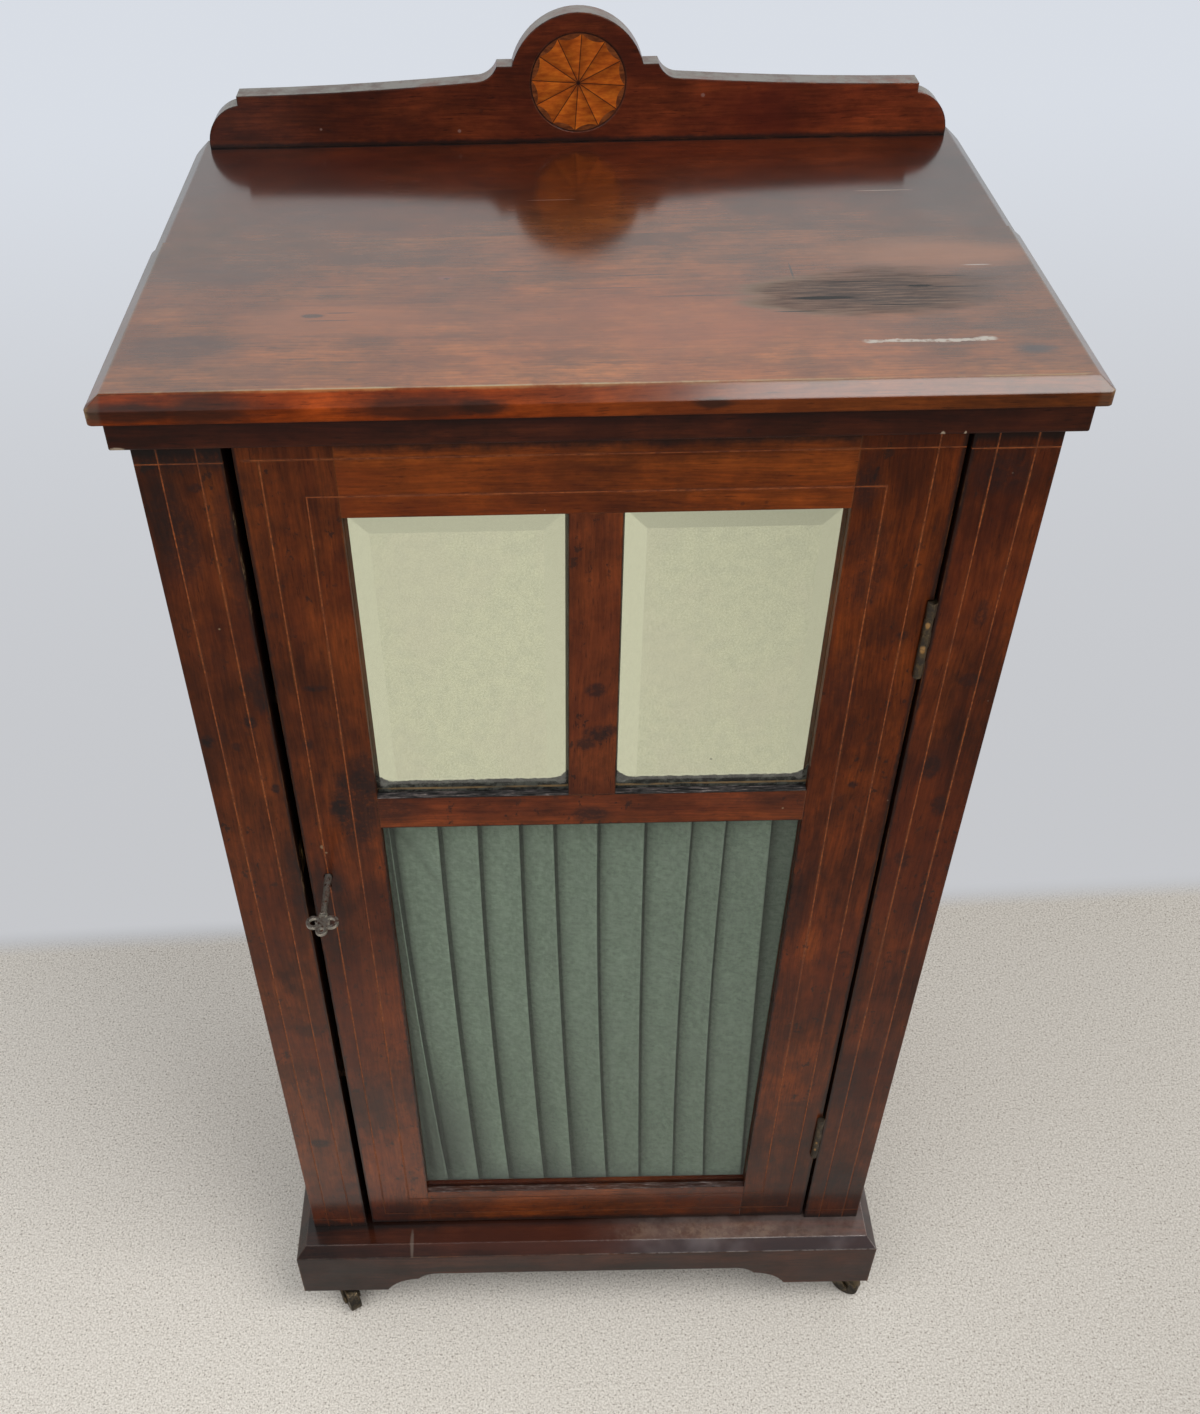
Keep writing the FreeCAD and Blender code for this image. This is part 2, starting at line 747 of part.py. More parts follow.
def make_gallery():
    board = gallery_face(gallery_front_y).extrude(V(0, gallery_thickness, 0))
    centre = on_patera(0, 0)
    pocket = rod(patera_radius, centre, (0, 1, 0), patera_depth)
    board = board.cut(pocket)
    holes = [screw_plug(frieze_screw, p, d) for p, d in gallery_screws()]
    keep("gallery_board", cut_all(board, holes))

    rim = patera_radius - patera_ring_width
    ring = pocket.cut(rod(rim, centre, (0, 1, 0), patera_depth))
    dot = rod(patera_dot_radius, centre, (0, 1, 0), patera_depth)
    keep("patera_ring", [ring, dot])
    step = 360.0 / patera_wedges
    wedges = []
    tips = []
    for i in range(patera_wedges):
        a = patera_turn + step * i
        b = a + step
        middle = a + step / 2
        low = [on_patera(patera_dot_radius, t) for t in (a, middle, b)]
        hollow = on_patera(rim - patera_lens_depth, middle)
        outer_a = on_patera(rim, a)
        outer_b = on_patera(rim, b)
        concave = arc(outer_a, hollow, outer_b)
        wedge = Part.Wire([line(low[0], outer_a), concave, line(outer_b, low[2]),
                           arc(low[2], low[1], low[0])])
        wedges.append(Part.Face(wedge).extrude(V(0, patera_depth, 0)))
        tip = Part.Wire([arc(outer_a, on_patera(rim, middle), outer_b), concave])
        tips.append(Part.Face(tip).extrude(V(0, patera_depth, 0)))
    keep("patera_fan", wedges)
    keep("patera_tips", tips)


# Door frame: stiles, rails and mullion with their rebates, tenons and mortises

def rail(z0, z1, low_rebate, high_rebate, low_haunch, high_haunch):
    back_low = z0 + low_rebate
    back_high = z1 - high_rebate
    front = box(sight_left, sight_right, door_face, lip_back, z0, z1)
    back = box(sight_left - rebate_width, sight_right + rebate_width, lip_back, door_back,
               back_low, back_high)
    reach = rebate_width + tenon_length
    tenon = box(sight_left - reach, sight_right + reach, tenon_front, tenon_back,
                back_low + low_haunch, back_high - high_haunch)
    return fuse([front, back, tenon])


def mullion():
    back_half = mullion_half - rebate_width
    low = mid_rail_top - rebate_width
    high = top_sight + rebate_width
    front = box(-mullion_half, mullion_half, door_face, lip_back, mid_rail_top, top_sight)
    back = box(-back_half, back_half, lip_back, door_back, low, high)
    tenon = box(-back_half, back_half, tenon_front, tenon_back, low - stub_tenon_length,
                high + stub_tenon_length)
    return fuse([front, back, tenon])


def door_strings():
    half = string_width / 2
    face = (door_face, door_face + string_depth)
    left = door_left + door_outer_string_left
    right = door_right - door_outer_string_right
    top = door_top - door_outer_string_top
    bottom = door_bottom + door_outer_string_bottom
    outer = [box(left - half, left + half, *face, bottom - half, top + half),
             box(right - half, right + half, *face, bottom - half, door_top),
             box(door_left + door_outer_string_start, door_right, *face, top - half, top + half),
             box(left - half, right + half, *face, bottom - half, bottom + half)]
    inner_left = sight_left - door_inner_string_side
    inner_right = sight_right + door_inner_string_side
    inner_top = door_top - door_inner_string_top
    inner_bottom = door_bottom + door_inner_string_bottom
    ring = box(inner_left - half, inner_right + half, *face, inner_bottom - half, inner_top + half)
    hole = box(inner_left + half, inner_right - half, door_face - overcut, door_back,
               inner_bottom + half, inner_top - half)
    return [fuse(outer).cut(keyhole(door_face - overcut, lip_back)), ring.cut(hole)]


def keyhole(y0, y1):
    eye = rod(keyhole_radius, (key_x, y0, key_z), (0, 1, 0), y1 - y0)
    slot = box(key_x - keyhole_slot_width / 2, key_x + keyhole_slot_width / 2, y0, y1,
               key_z - keyhole_slot_length, key_z)
    return eye.fuse(slot)


def make_door_frame():
    strings = door_strings()
    keep("door_stringing", [s for shape in strings for s in shape.Solids])
    bar = mullion()
    top = rail(top_sight, door_top, rebate_width, 0, 0, tenon_haunch)
    middle = rail(mid_rail_bottom, mid_rail_top, rebate_width, rebate_width, 0, 0)
    bottom = rail(door_bottom, bottom_sight, 0, rebate_width, tenon_haunch, 0)
    rails = [top, middle, bottom]
    rods = curtain_rods()
    lock_side = box(door_left, sight_left, door_face, door_back, door_bottom, door_top)
    lock_side = lock_side.cut(box(sight_left - rebate_width, sight_left + overcut, lip_back,
                                  door_back + overcut, door_bottom - overcut, door_top + overcut))
    lock_side = cut_all(lock_side, rails + rods + lock_cavity() + strings)
    lock_side = cut_all(lock_side, [screw_plug(lock_screw, p, d) for p, d in lock_screws()])
    keep("door_lock_stile", lock_side)
    hinge_side = box(sight_right, door_right, door_face, door_back, door_bottom, door_top)
    hinge_side = hinge_side.cut(box(sight_right - overcut, sight_right + rebate_width, lip_back,
                                    door_back + overcut, door_bottom - overcut, door_top + overcut))
    hinge_side = cut_all(hinge_side, rails + rods + strings + knuckle_recesses())
    hinge_side = cut_all(hinge_side, [screw_plug(leaf_screw, p, d) for p, d in door_leaf_screws()])
    keep("door_hinge_stile", hinge_side)
    keep("door_top_rail", cut_all(top, [bar] + strings))
    keep("door_mid_rail", middle.cut(bar))
    keep("door_bottom_rail", cut_all(bottom, strings))
    keep("door_mullion", bar)


# Mirrors, glass, beads and curtain

def strip_frame(x0, x1, z0, z1, y0):
    w = bead_width
    outer = [(x0, z0), (x1, z0), (x1, z1), (x0, z1)]
    inner = [(x0 + w, z0 + w), (x1 - w, z0 + w), (x1 - w, z1 - w), (x0 + w, z1 - w)]
    strips = []
    for i in range(4):
        j = (i + 1) % 4
        strips.append(elevation_prism([outer[i], outer[j], inner[j], inner[i]], y0,
                                      y0 + bead_thickness))
    return strips


def rectangle(x0, x1, y, z0, z1):
    return Part.makePolygon([V(x0, y, z0), V(x1, y, z0), V(x1, y, z1), V(x0, y, z1), V(x0, y, z0)])


def make_glazing():
    cover = rebate_width - glass_clearance
    drop = mirror_edge * (mirror_bevel - cover) / mirror_bevel
    mirror_front = lip_back - drop + mirror_seat_gap
    edge_y = mirror_front + mirror_edge
    mirror_back = mirror_front + mirror_thickness
    board_back = mirror_back + backboard_thickness
    beads = []
    boards = []
    spans = (("left", sight_left, -mullion_half), ("right", mullion_half, sight_right))
    for name, left, right in spans:
        x0 = left - cover
        x1 = right + cover
        z0 = mid_rail_top - cover
        z1 = top_sight + cover
        b = mirror_bevel
        slab = box(x0, x1, edge_y, mirror_back, z0, z1)
        face = Part.makeLoft([rectangle(x0, x1, edge_y, z0, z1),
                              rectangle(x0 + b, x1 - b, mirror_front, z0 + b, z1 - b)], True, True)
        keep("mirror_" + name, slab.fuse(face))
        grow = rebate_width - board_clearance
        boards.append(box(left - grow, right + grow, mirror_back, board_back,
                          mid_rail_top - grow, top_sight + grow))
        beads += strip_frame(left - rebate_width, right + rebate_width,
                             mid_rail_top - rebate_width, top_sight + rebate_width, board_back)
    keep("mirror_backboards", boards)
    keep("door_glass", box(sight_left - cover, sight_right + cover, lip_back,
                           lip_back + glass_thickness, bottom_sight - cover,
                           mid_rail_bottom + cover))
    beads += strip_frame(sight_left - rebate_width, sight_right + rebate_width,
                         bottom_sight - rebate_width, mid_rail_bottom + rebate_width,
                         lip_back + glass_thickness)
    keep("glazing_beads", beads)


def curtain_rods():
    reach = rebate_width + rod_hole_depth
    left = sight_left - reach
    length = sight_right + reach - left
    return [rod(rod_radius, (left, rod_y, z), (1, 0, 0), length) for z in rod_zs]


def pleat_section(fold_ratios, z):
    left = sight_left - rebate_width + curtain_side_gap
    right = sight_right + rebate_width - curtain_side_gap
    front = rod_front_y
    back = front + curtain_depth - curtain_thickness
    points = [(left, back)]
    for ratio in fold_ratios:
        x = left + (right - left) * ratio
        points += [(x, front), (x + curtain_return, back)]
    points.append((right, front))
    loop = points + [(x, y + curtain_thickness) for x, y in reversed(points)]
    vectors = [V(x, y, z) for x, y in loop]
    return Part.makePolygon(vectors + [vectors[0]])


def make_curtain():
    rods = curtain_rods()
    keep("curtain_rods", rods)
    half_casing = rod_radius + turn_clearance + casing_wall
    left = sight_left - rebate_width + curtain_side_gap
    right = sight_right + rebate_width - curtain_side_gap
    low = rod_zs[0] + half_casing
    high = rod_zs[1] - half_casing
    sheet = Part.makeLoft([pleat_section(fold_ratios_bottom, low), pleat_section(fold_ratios_top, high)],
                          True, True)
    solids = [sheet]
    for z in rod_zs:
        casing = box(left, right, rod_front_y, rod_front_y + curtain_depth, z - half_casing,
                     z + half_casing)
        bore = rod(rod_radius + turn_clearance, (left - overcut, rod_y, z), (1, 0, 0),
                   right - left + 2 * overcut)
        solids.append(casing.cut(bore))
    keep("curtain", solids)


# Hinges

def hinge_centres():
    return [door_bottom + hinge_rise, door_top - hinge_drop]


def knuckle_recesses():
    radius = knuckle_radius + turn_clearance
    length = hinge_length + 2 * (pin_cap_height + turn_clearance)
    return [rod(radius, (hinge_axis_x, hinge_axis_y, z - length / 2), (0, 0, 1), length)
            for z in hinge_centres()]


def leaf_screw_heights():
    spacing = leaf_screw_spacing
    return [z + offset for z in hinge_centres() for offset in (-spacing, 0.0, spacing)]


def door_leaf_screws():
    x = door_right + leaf_thickness - screw_sink
    return [((x, leaf_screw_y, z), (-1, 0, 0)) for z in leaf_screw_heights()]


def case_leaf_screws():
    x = opening_half - leaf_thickness + screw_sink
    return [((x, leaf_screw_y, z), (1, 0, 0)) for z in leaf_screw_heights()]


def hinge_leaf(centre, x0, x1, own_knuckles, bore_radius):
    pitch = hinge_length / knuckle_count
    low = centre - hinge_length / 2
    clear_y = hinge_axis_y + knuckle_radius + turn_clearance
    solids = [box(x0, x1, clear_y, leaf_rear_y, low, low + hinge_length)]
    for i in own_knuckles:
        z0 = low + pitch * i + knuckle_gap / 2
        height = pitch - knuckle_gap
        solids.append(rod(knuckle_radius, (hinge_axis_x, hinge_axis_y, z0), (0, 0, 1), height))
        solids.append(box(x0, x1, hinge_axis_y, clear_y, z0, z0 + height))
    bore = rod(bore_radius, (hinge_axis_x, hinge_axis_y, low - overcut), (0, 0, 1),
               hinge_length + 2 * overcut)
    return fuse(solids).cut(bore)


def make_hinges():
    case_knuckles = [i for i in range(knuckle_count) if i % 2 == 0]
    door_knuckles = [i for i in range(knuckle_count) if i % 2 == 1]
    case_holes = [screw_plug(leaf_screw, p, d) for p, d in case_leaf_screws()]
    door_holes = [screw_plug(leaf_screw, p, d) for p, d in door_leaf_screws()]
    case_leaves = []
    door_leaves = []
    pins = []
    for centre in hinge_centres():
        case_leaf = hinge_leaf(centre, opening_half - leaf_thickness, opening_half, case_knuckles,
                               pin_radius)
        door_leaf = hinge_leaf(centre, door_right, door_right + leaf_thickness, door_knuckles,
                               pin_radius + pin_play)
        case_leaves.append(cut_all(case_leaf, case_holes))
        door_leaves.append(cut_all(door_leaf, door_holes))
        low = centre - hinge_length / 2 + knuckle_gap / 2
        length = hinge_length - knuckle_gap
        pin = rod(pin_radius, (hinge_axis_x, hinge_axis_y, low), (0, 0, 1), length)
        caps = [rod(knuckle_radius, (hinge_axis_x, hinge_axis_y, z), (0, 0, 1), pin_cap_height)
                for z in (low - pin_cap_height, low + length)]
        pins.append(fuse([pin] + caps))
    keep("hinge_case_leaves", case_leaves)
    keep("hinge_door_leaves", door_leaves)
    keep("hinge_pins", pins)


# Lock, keeper, bolt and key

def talon_notch():
    met = []
    for degree in range(1, int(key_turn_angle) + 1):
        angle = math.radians(degree)
        along = (math.cos(angle), math.sin(angle))
        across = (-math.sin(angle), math.cos(angle))
        shift = bolt_throw * degree / key_turn_angle
        for side in (-1, 1):
            for step in range(bit_steps + 1):
                reach = bit_reach * step / bit_steps
                x = reach * along[0] + side * bit_half_thickness * across[0]
                z = reach * along[1] + side * bit_half_thickness * across[1]
                if z >= bolt_underside - slide_clearance:
                    met.append(x + shift)
    return min(met) - slide_clearance, max(met) + 2 * slide_clearance


def bit_corner_reach():
    return math.hypot(bit_reach, bit_half_thickness)


def lock_cavity():
    block = box(door_left, lock_plate_right, lock_cap_y, lock_plate_y, key_z - lock_block_below,
                key_z + lock_block_above)
    plate = box(door_left, lock_plate_right, lock_plate_y, door_back, key_z - lock_plate_height / 2,
                key_z + lock_plate_height / 2)
    selvedge = box(door_left, door_left + lock_plate_thickness, lock_cap_y, lock_plate_y,
                   key_z - lock_plate_height / 2, key_z + lock_plate_height / 2)
    return [block, plate, selvedge, keyhole(door_face - overcut, lock_cap_y)]


def lock_screws():
    places = []
    for x in (door_left + lock_screw_inset_x, lock_plate_right - lock_screw_inset_x):
        for z_side in (-1, 1):
            z = key_z + z_side * (lock_plate_height / 2 - lock_screw_inset_z)
            places.append(((x, door_back - screw_sink, z), (0, -1, 0)))
    return places


def make_lock():
    block, plate, selvedge, hole = lock_cavity()
    case = fuse([block, plate, selvedge])
    gap = slide_clearance
    channel = box(door_left - overcut, key_x + bolt_tail + gap, layer_front_y, layer_back_y,
                  bolt_bottom_z - gap, bolt_top_z + gap)
    well = rod(bit_corner_reach() + turn_clearance, (key_x, layer_front_y, key_z), (0, 1, 0),
               layer_back_y - layer_front_y)
    case = cut_all(case, [channel, well, keyhole(lock_cap_y - overcut, layer_back_y)])
    pin = rod(drill_pin_radius, (key_x, drill_pin_tip_y, key_z), (0, 1, 0),
              lock_plate_y - drill_pin_tip_y)
    case = case.fuse(pin)
    keep("lock_case", cut_all(case, [screw_plug(lock_screw, p, d) for p, d in lock_screws()]))

    bolt = box(bolt_left, key_x + bolt_tail, bolt_layer_y, bolt_back_y, bolt_bottom_z, bolt_top_z)
    low, high = talon_notch()
    notch_top = key_z + bit_corner_reach() + turn_clearance
    notch = box(key_x + low, key_x + high, bolt_layer_y - overcut, bolt_back_y + overcut,
                bolt_bottom_z - overcut, notch_top)
    keep("lock_bolt", bolt.cut(notch))
    keep("lock_keeper", keeper_plate_blank().cut(bolt_mortise(keeper_thickness + overcut,
                                                              slide_clearance)))


def keeper_plate_blank():
    return box(-opening_half - keeper_thickness, -opening_half, bolt_layer_y - keeper_margin_y,
               bolt_back_y + keeper_margin_y, bolt_bottom_z - keeper_margin_z,
               bolt_top_z + keeper_margin_z)


def bow_disc(x, y, radius):
    low = key_z - key_bow_thickness / 2
    return rod(radius, (key_x + x, key_bow_y - y, low), (0, 0, 1), key_bow_thickness)


def key_bow():
    x, y, outer, inner = key_side_ring
    end_x, end_y, end_outer, end_inner = key_end_ring
    half = key_bow_thickness / 2
    stem = box(key_x - key_stem_half_width, key_x + key_stem_half_width, key_bow_y - end_y,
               key_bow_y + key_collar_length / 2, key_z - half, key_z + half)
    solids = [stem, bow_disc(end_x, end_y, end_outer)]
    holes = [bow_disc(end_x, end_y, end_inner)]
    curls = []
    for side in (-1, 1):
        solids.append(bow_disc(side * x, y, outer))
        solids.append(bow_disc(side * key_bridge[0], key_bridge[1], key_bridge[2]))
        holes.append(bow_disc(side * x, y, inner))
        curls.append(bow_disc(side * key_curl[0], key_curl[1], key_curl[2]))
    return fuse([cut_all(fuse(solids), holes)] + curls)


def make_key():
    tip_y = bolt_back_y - bit_side_clearance
    shank = rod(key_shank_radius, (key_x, door_face, key_z), (0, 1, 0), tip_y - door_face)
    neck = Part.makeCone(key_neck_radius, key_shank_radius, door_face - key_shank_end_y,
                         V(key_x, key_shank_end_y, key_z), V(0, 1, 0))
    collar = rod(key_collar_radius, (key_x, key_bow_y, key_z), (0, 1, 0), key_collar_length)
    bit = box(key_x, key_x + bit_reach, bolt_layer_y + bit_side_clearance, tip_y,
              key_z - bit_half_thickness, key_z + bit_half_thickness)
    key = fuse([shank, neck, collar, bit, key_bow()])
    bore_y = drill_pin_tip_y - turn_clearance
    bore = rod(drill_pin_radius + turn_clearance, (key_x, bore_y, key_z), (0, 1, 0),
               tip_y + overcut - bore_y)
    keep("key", key.cut(bore))


# Screws gathered by the body that they belong to

def make_screws():
    case = [screw(leaf_screw, p, d) for p, d in case_leaf_screws()]
    case += [screw(frieze_screw, p, d) for p, d in frieze_screws() + gallery_screws()]
    for x_side, y_side, name in castor_corners():
        case += [screw(castor_screw, p, (0, 0, 1)) for p in castor_screw_points(x_side, y_side)]
    head_x = inner_half - bearer_thickness + screw_sink
    for side in (-1, 1):
        case += [screw(bearer_screw, (side * head_x, y, z), (side, 0, 0))
                 for y, z in bearer_screw_places()]
    keep("case_screws", case)
    door = [screw(leaf_screw, p, d) for p, d in door_leaf_screws()]
    door += [screw(lock_screw, p, d) for p, d in lock_screws()]
    keep("door_screws", door)


make_castors()
make_base()
make_carcass()
make_frieze()
make_top()
make_gallery()
make_door_frame()
make_glazing()
make_curtain()
make_hinges()
make_lock()
make_key()
make_screws()

for name, solids in pieces.items():
    shape = solids[0] if len(solids) == 1 else Part.makeCompound(solids)
    shape.translate(V(0, -middle_y, 0))
    shape.exportStep("parts/%s.step" % name)
    print(name, len(shape.Solids), shape.isValid(), round(shape.Volume, 1))
print("moved along Y by", round(-middle_y, 3))
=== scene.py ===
import math

import bpy
from mathutils import Matrix, Vector, noise


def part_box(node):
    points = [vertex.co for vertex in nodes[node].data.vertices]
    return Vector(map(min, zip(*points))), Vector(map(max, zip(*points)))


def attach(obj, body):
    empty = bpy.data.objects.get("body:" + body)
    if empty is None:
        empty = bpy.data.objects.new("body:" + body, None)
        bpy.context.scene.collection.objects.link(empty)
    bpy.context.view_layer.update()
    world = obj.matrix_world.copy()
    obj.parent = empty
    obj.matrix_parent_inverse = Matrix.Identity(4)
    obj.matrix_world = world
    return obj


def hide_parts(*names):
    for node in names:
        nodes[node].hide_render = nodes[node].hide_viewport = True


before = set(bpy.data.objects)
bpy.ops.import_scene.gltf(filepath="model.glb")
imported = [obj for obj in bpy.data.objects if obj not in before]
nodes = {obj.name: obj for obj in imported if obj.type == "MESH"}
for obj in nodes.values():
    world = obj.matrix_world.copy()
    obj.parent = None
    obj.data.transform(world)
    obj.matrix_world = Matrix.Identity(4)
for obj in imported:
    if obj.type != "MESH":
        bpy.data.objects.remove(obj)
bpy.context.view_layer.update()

curtain_low, curtain_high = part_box("curtain")
face_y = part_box("door_mullion")[0].y
top_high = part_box("top_board_front")[1]
gallery_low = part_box("gallery_board")[0]
fan_low, fan_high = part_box("patera_fan")
fan_centre = (fan_low + fan_high) / 2

# All colours in this file are linear
# A near-black used for dirt specks and for painted shade along gaps and joints
DIRT_AND_SHADE = (0.01, 0.005, 0.004)


def place(x, z, y=0.0):
    """A point in metres from millimetres across, up, and behind the door's face."""
    return Vector((x / 1000, face_y + y / 1000, z / 1000))


def new_object(name, data):
    made = bpy.data.objects.new(name, data)
    bpy.context.scene.collection.objects.link(made)
    return made


# Node materials

class Graph:
    """The node tree of a material or the world, with short ways to add to it."""

    def __init__(self, name, owner=None):
        self.owner = owner or bpy.data.materials.new(name)
        self.owner.use_nodes = True
        self.tree = self.owner.node_tree
        self.tree.nodes.clear()
        self.coordinates = self.add("TexCoord").outputs
        self.point = self.coordinates["Object"]

    def add(self, kind, inputs=None, **settings):
        made = self.tree.nodes.new("ShaderNode" + kind)
        for key, value in settings.items():
            setattr(made, key, value)
        for key, value in (inputs or {}).items():
            self.put(made.inputs[key], value)
        return made

    def put(self, socket, value):
        """Set a socket to a number or colour, or link it to a socket or to a node's first output."""
        if isinstance(value, bpy.types.Node):
            value = value.outputs[0]
        if isinstance(value, bpy.types.NodeSocket):
            self.tree.links.new(value, socket)
        elif socket.type == "RGBA":
            socket.default_value = (*value, 1.0)
        else:
            socket.default_value = value

    def math(self, operation, *values, clamp=False):
        return self.add("Math", dict(enumerate(values)), operation=operation, use_clamp=clamp)

    def times(self, a, b):
        return self.math("MULTIPLY", a, b)

    def plus(self, a, b):
        return self.math("ADD", a, b)

    def minus(self, a, b):
        return self.math("SUBTRACT", a, b)

    def larger(self, a, b):
        return self.math("MAXIMUM", a, b)

    def absolute(self, value):
        return self.math("ABSOLUTE", value)

    def vector(self, operation, *values):
        made = self.add("VectorMath", dict(enumerate(values)), operation=operation)
        return made.outputs["Value" if operation in ("LENGTH", "DOT_PRODUCT") else "Vector"]

    def stretch(self, vector, scale, shift=(0.0, 0.0, 0.0)):
        return self.add("Mapping", {"Vector": vector, "Scale": scale, "Location": shift})

    def moved(self, *shift):
        return self.stretch(self.point, (1.0, 1.0, 1.0), shift)

    def noise(self, vector, scale, detail=4.0, roughness=0.55, distortion=0.0):
        inputs = {"Vector": vector, "Scale": scale, "Detail": detail, "Roughness": roughness,
                  "Distortion": distortion}
        return self.add("TexNoise", inputs)

    def cells(self, vector, scale):
        return self.add("TexVoronoi", {"Vector": vector, "Scale": scale})

    def fade(self, value, start, end, low=0.0, high=1.0):
        """low where value is at start, high where it is at end, and a soft step between."""
        inputs = dict(enumerate((value, start, end, low, high)))
        return self.add("MapRange", inputs, interpolation_type="SMOOTHSTEP")

    def within(self, mask, *fading):
        """The mask, weaker where the fading is low."""
        return self.times(mask, self.fade(*fading))

    def mix(self, factor, a, b, blend="MIX"):
        made = self.add("Mix", {0: factor, 6: a, 7: b}, data_type="RGBA", blend_type=blend)
        return made.outputs[2]

    def paint(self, mask, strength, colour, tone):
        return self.mix(self.times(mask, strength), colour, tone)

    def tint(self, colour, *fading):
        """The colour times a level that fades over the surface."""
        level = self.fade(*fading)
        return self.mix(1.0, colour, self.add("CombineXYZ", {0: level, 1: level, 2: level}), "MULTIPLY")

    def ramp(self, value, stops):
        made = self.add("ValToRGB", {0: value})
        ramp = made.color_ramp
        while len(ramp.elements) < len(stops):
            ramp.elements.new(0.5)
        for element, (position, colour) in zip(ramp.elements, stops):
            element.position = position
            element.color = (*colour, 1.0)
        return made

    def axes(self, vector=None):
        return self.add("SeparateXYZ", {0: vector or self.point}).outputs

    def upward(self):
        """How far the surface faces up: 1 on top of a board, 0 on an upright face."""
        return self.axes(self.add("NewGeometry").outputs["Normal"])[2]

    def finish(self, kind, inputs):
        """The material, once its last shader is made and linked to the output."""
        self.add("OutputMaterial", {"Surface": self.add(kind, inputs)})
        return self.owner


def blot(g, centre, radii, soft=0.3, rough=0.25, scale=60.0, stretch=(1.0, 1.0, 1.0)):
    """1 inside a spot with uneven edges and 0 outside it. centre in metres, radii in millimetres."""
    away = g.vector("SUBTRACT", g.point, tuple(centre))
    sized = g.vector("MULTIPLY", away, tuple(1000.0 / r for r in radii))
    uneven = g.noise(g.stretch(g.point, stretch), scale, 5.0, 0.65)
    waver = g.times(g.minus(uneven, 0.5), rough * 4)
    reach = g.plus(g.vector("LENGTH", sized), waver)
    return g.fade(reach, 1.0 - soft, 1.0 + soft, 1.0, 0.0)


def edge_mask(g, radius, joint=None):
    """(soft normal, 1 near an arris and 0 elsewhere). Nothing is softened at joint, a Y."""
    soft = g.add("Bevel", {"Radius": radius}, samples=4)
    flat = g.add("NewGeometry").outputs["Normal"]
    arris = g.fade(g.vector("DOT_PRODUCT", soft, flat), 0.985, 0.9)
    if joint is not None:
        away = g.fade(g.absolute(g.minus(g.axes()[1], joint)), 0.002, 0.0032)
        soft = g.mix(away, flat, soft)
        arris = g.times(arris, away)
    return soft, arris


ALONG = {"X": (0.06, 1.0, 1.0), "Y": (1.0, 0.06, 1.0), "Z": (1.0, 1.0, 0.06)}
PORES = {"X": (0.1, 1.0, 1.0), "Y": (1.0, 0.1, 1.0), "Z": (1.0, 1.0, 0.1)}


def scaled(tones, *levels):
    """The tones, darker or lighter by one level or by one for each of red, green and blue."""
    levels = levels * 3 if len(levels) == 1 else levels
    return tuple(tuple(c * k for c, k in zip(tone, levels)) for tone in tones)


def near_line(g, base, axis, value, reach):
    """1 on a plane across an axis (0, 1 or 2) at value millimetres, fading out unevenly over reach."""
    away = g.absolute(g.minus(g.axes()[axis], value / 1000))
    uneven = g.times(g.minus(g.noise(base, 70.0, 4.0, 0.7), 0.5), reach / 900)
    return g.fade(g.plus(away, uneven), reach / 4000, reach / 1000, 1.0, 0.0)


def grain_colour(g, base, grain, tones, figure):
    """(colour, fibres, pits) of bare wood, with its grain along one axis."""
    dark, middle, light = tones
    sway = g.vector("SUBTRACT", g.noise(base, 3.2, 2.0).outputs[1], (0.5, 0.5, 0.5))
    swayed = g.vector("ADD", base, g.vector("MULTIPLY", sway, (0.022, 0.022, 0.022)))
    long = g.stretch(swayed, ALONG[grain])
    bands = g.noise(long, 26.0, 4.0, 0.6, 0.15)
    streaks = g.noise(long, 110.0, 5.0, 0.65, 0.1)
    fibres = g.noise(long, 620.0, 3.0, 0.6)
    broad = g.noise(base, 5.0, 3.0, 0.5)
    pores = g.noise(g.stretch(swayed, PORES[grain]), 900.0, 2.0, 0.5)
    value = g.times(bands, 0.4)
    value = g.math("MULTIPLY_ADD", streaks, 0.3, value)
    value = g.math("MULTIPLY_ADD", broad, 0.3, value)
    value = g.math("MULTIPLY_ADD", g.minus(value, 0.5), figure, 0.5)
    palest = [c * 1.25 for c in light]
    colour = g.ramp(value, [(0.36, dark), (0.48, middle), (0.57, light), (0.68, palest)])
    colour = g.tint(colour, fibres, 0.3, 0.7, 0.74, 1.18)
    colour = g.tint(colour, g.noise(base, 10.0, 6.0, 0.65), 0.32, 0.68, 0.68, 1.26)
    drawn_out = [0.45 if k < 0.1 else 1.0 for k in ALONG[grain]]
    mottled = g.noise(g.stretch(base, drawn_out), 55.0, 7.0, 0.72)
    colour = g.tint(colour, mottled, 0.34, 0.66, 0.66, 1.24)
    ruddy = g.fade(g.noise(base, 7.0, 4.0, 0.6), 0.45, 0.65, 0.0, 0.45)
    colour = g.mix(ruddy, colour, [middle[0] * 0.85, middle[1] * 0.62, middle[2] * 0.9])
    return colour, fibres, g.fade(pores, 0.62, 0.74)


def soiled_and_shaded(g, base, colour, grime, dirt, grimy):
    """The colour under grime, dark specks, painted shade along gaps and joints and a few pale flecks."""
    colour = g.paint(g.fade(grime, 0.54, 0.72), dirt, colour, (0.012, 0.006, 0.004))
    specks = g.fade(g.cells(base, 55.0), 0.1, 0.05)
    specks = g.within(specks, g.noise(base, 21.0, 2.0), 0.58, 0.62)
    colour = g.paint(specks, min(1.0, dirt * 1.6), colour, DIRT_AND_SHADE)
    # Painted shade: near-black lines along gaps, joints and the edges under overhangs
    for axis, value, reach in grimy:
        colour = g.paint(near_line(g, base, axis, value, reach), 0.85, colour, DIRT_AND_SHADE)
    flecks = g.fade(g.cells(base, 120.0), 0.075, 0.045)
    flecks = g.within(flecks, g.noise(base, 40.0, 2.0), 0.66, 0.7)
    return g.paint(flecks, 0.5, colour, (0.3, 0.22, 0.16))


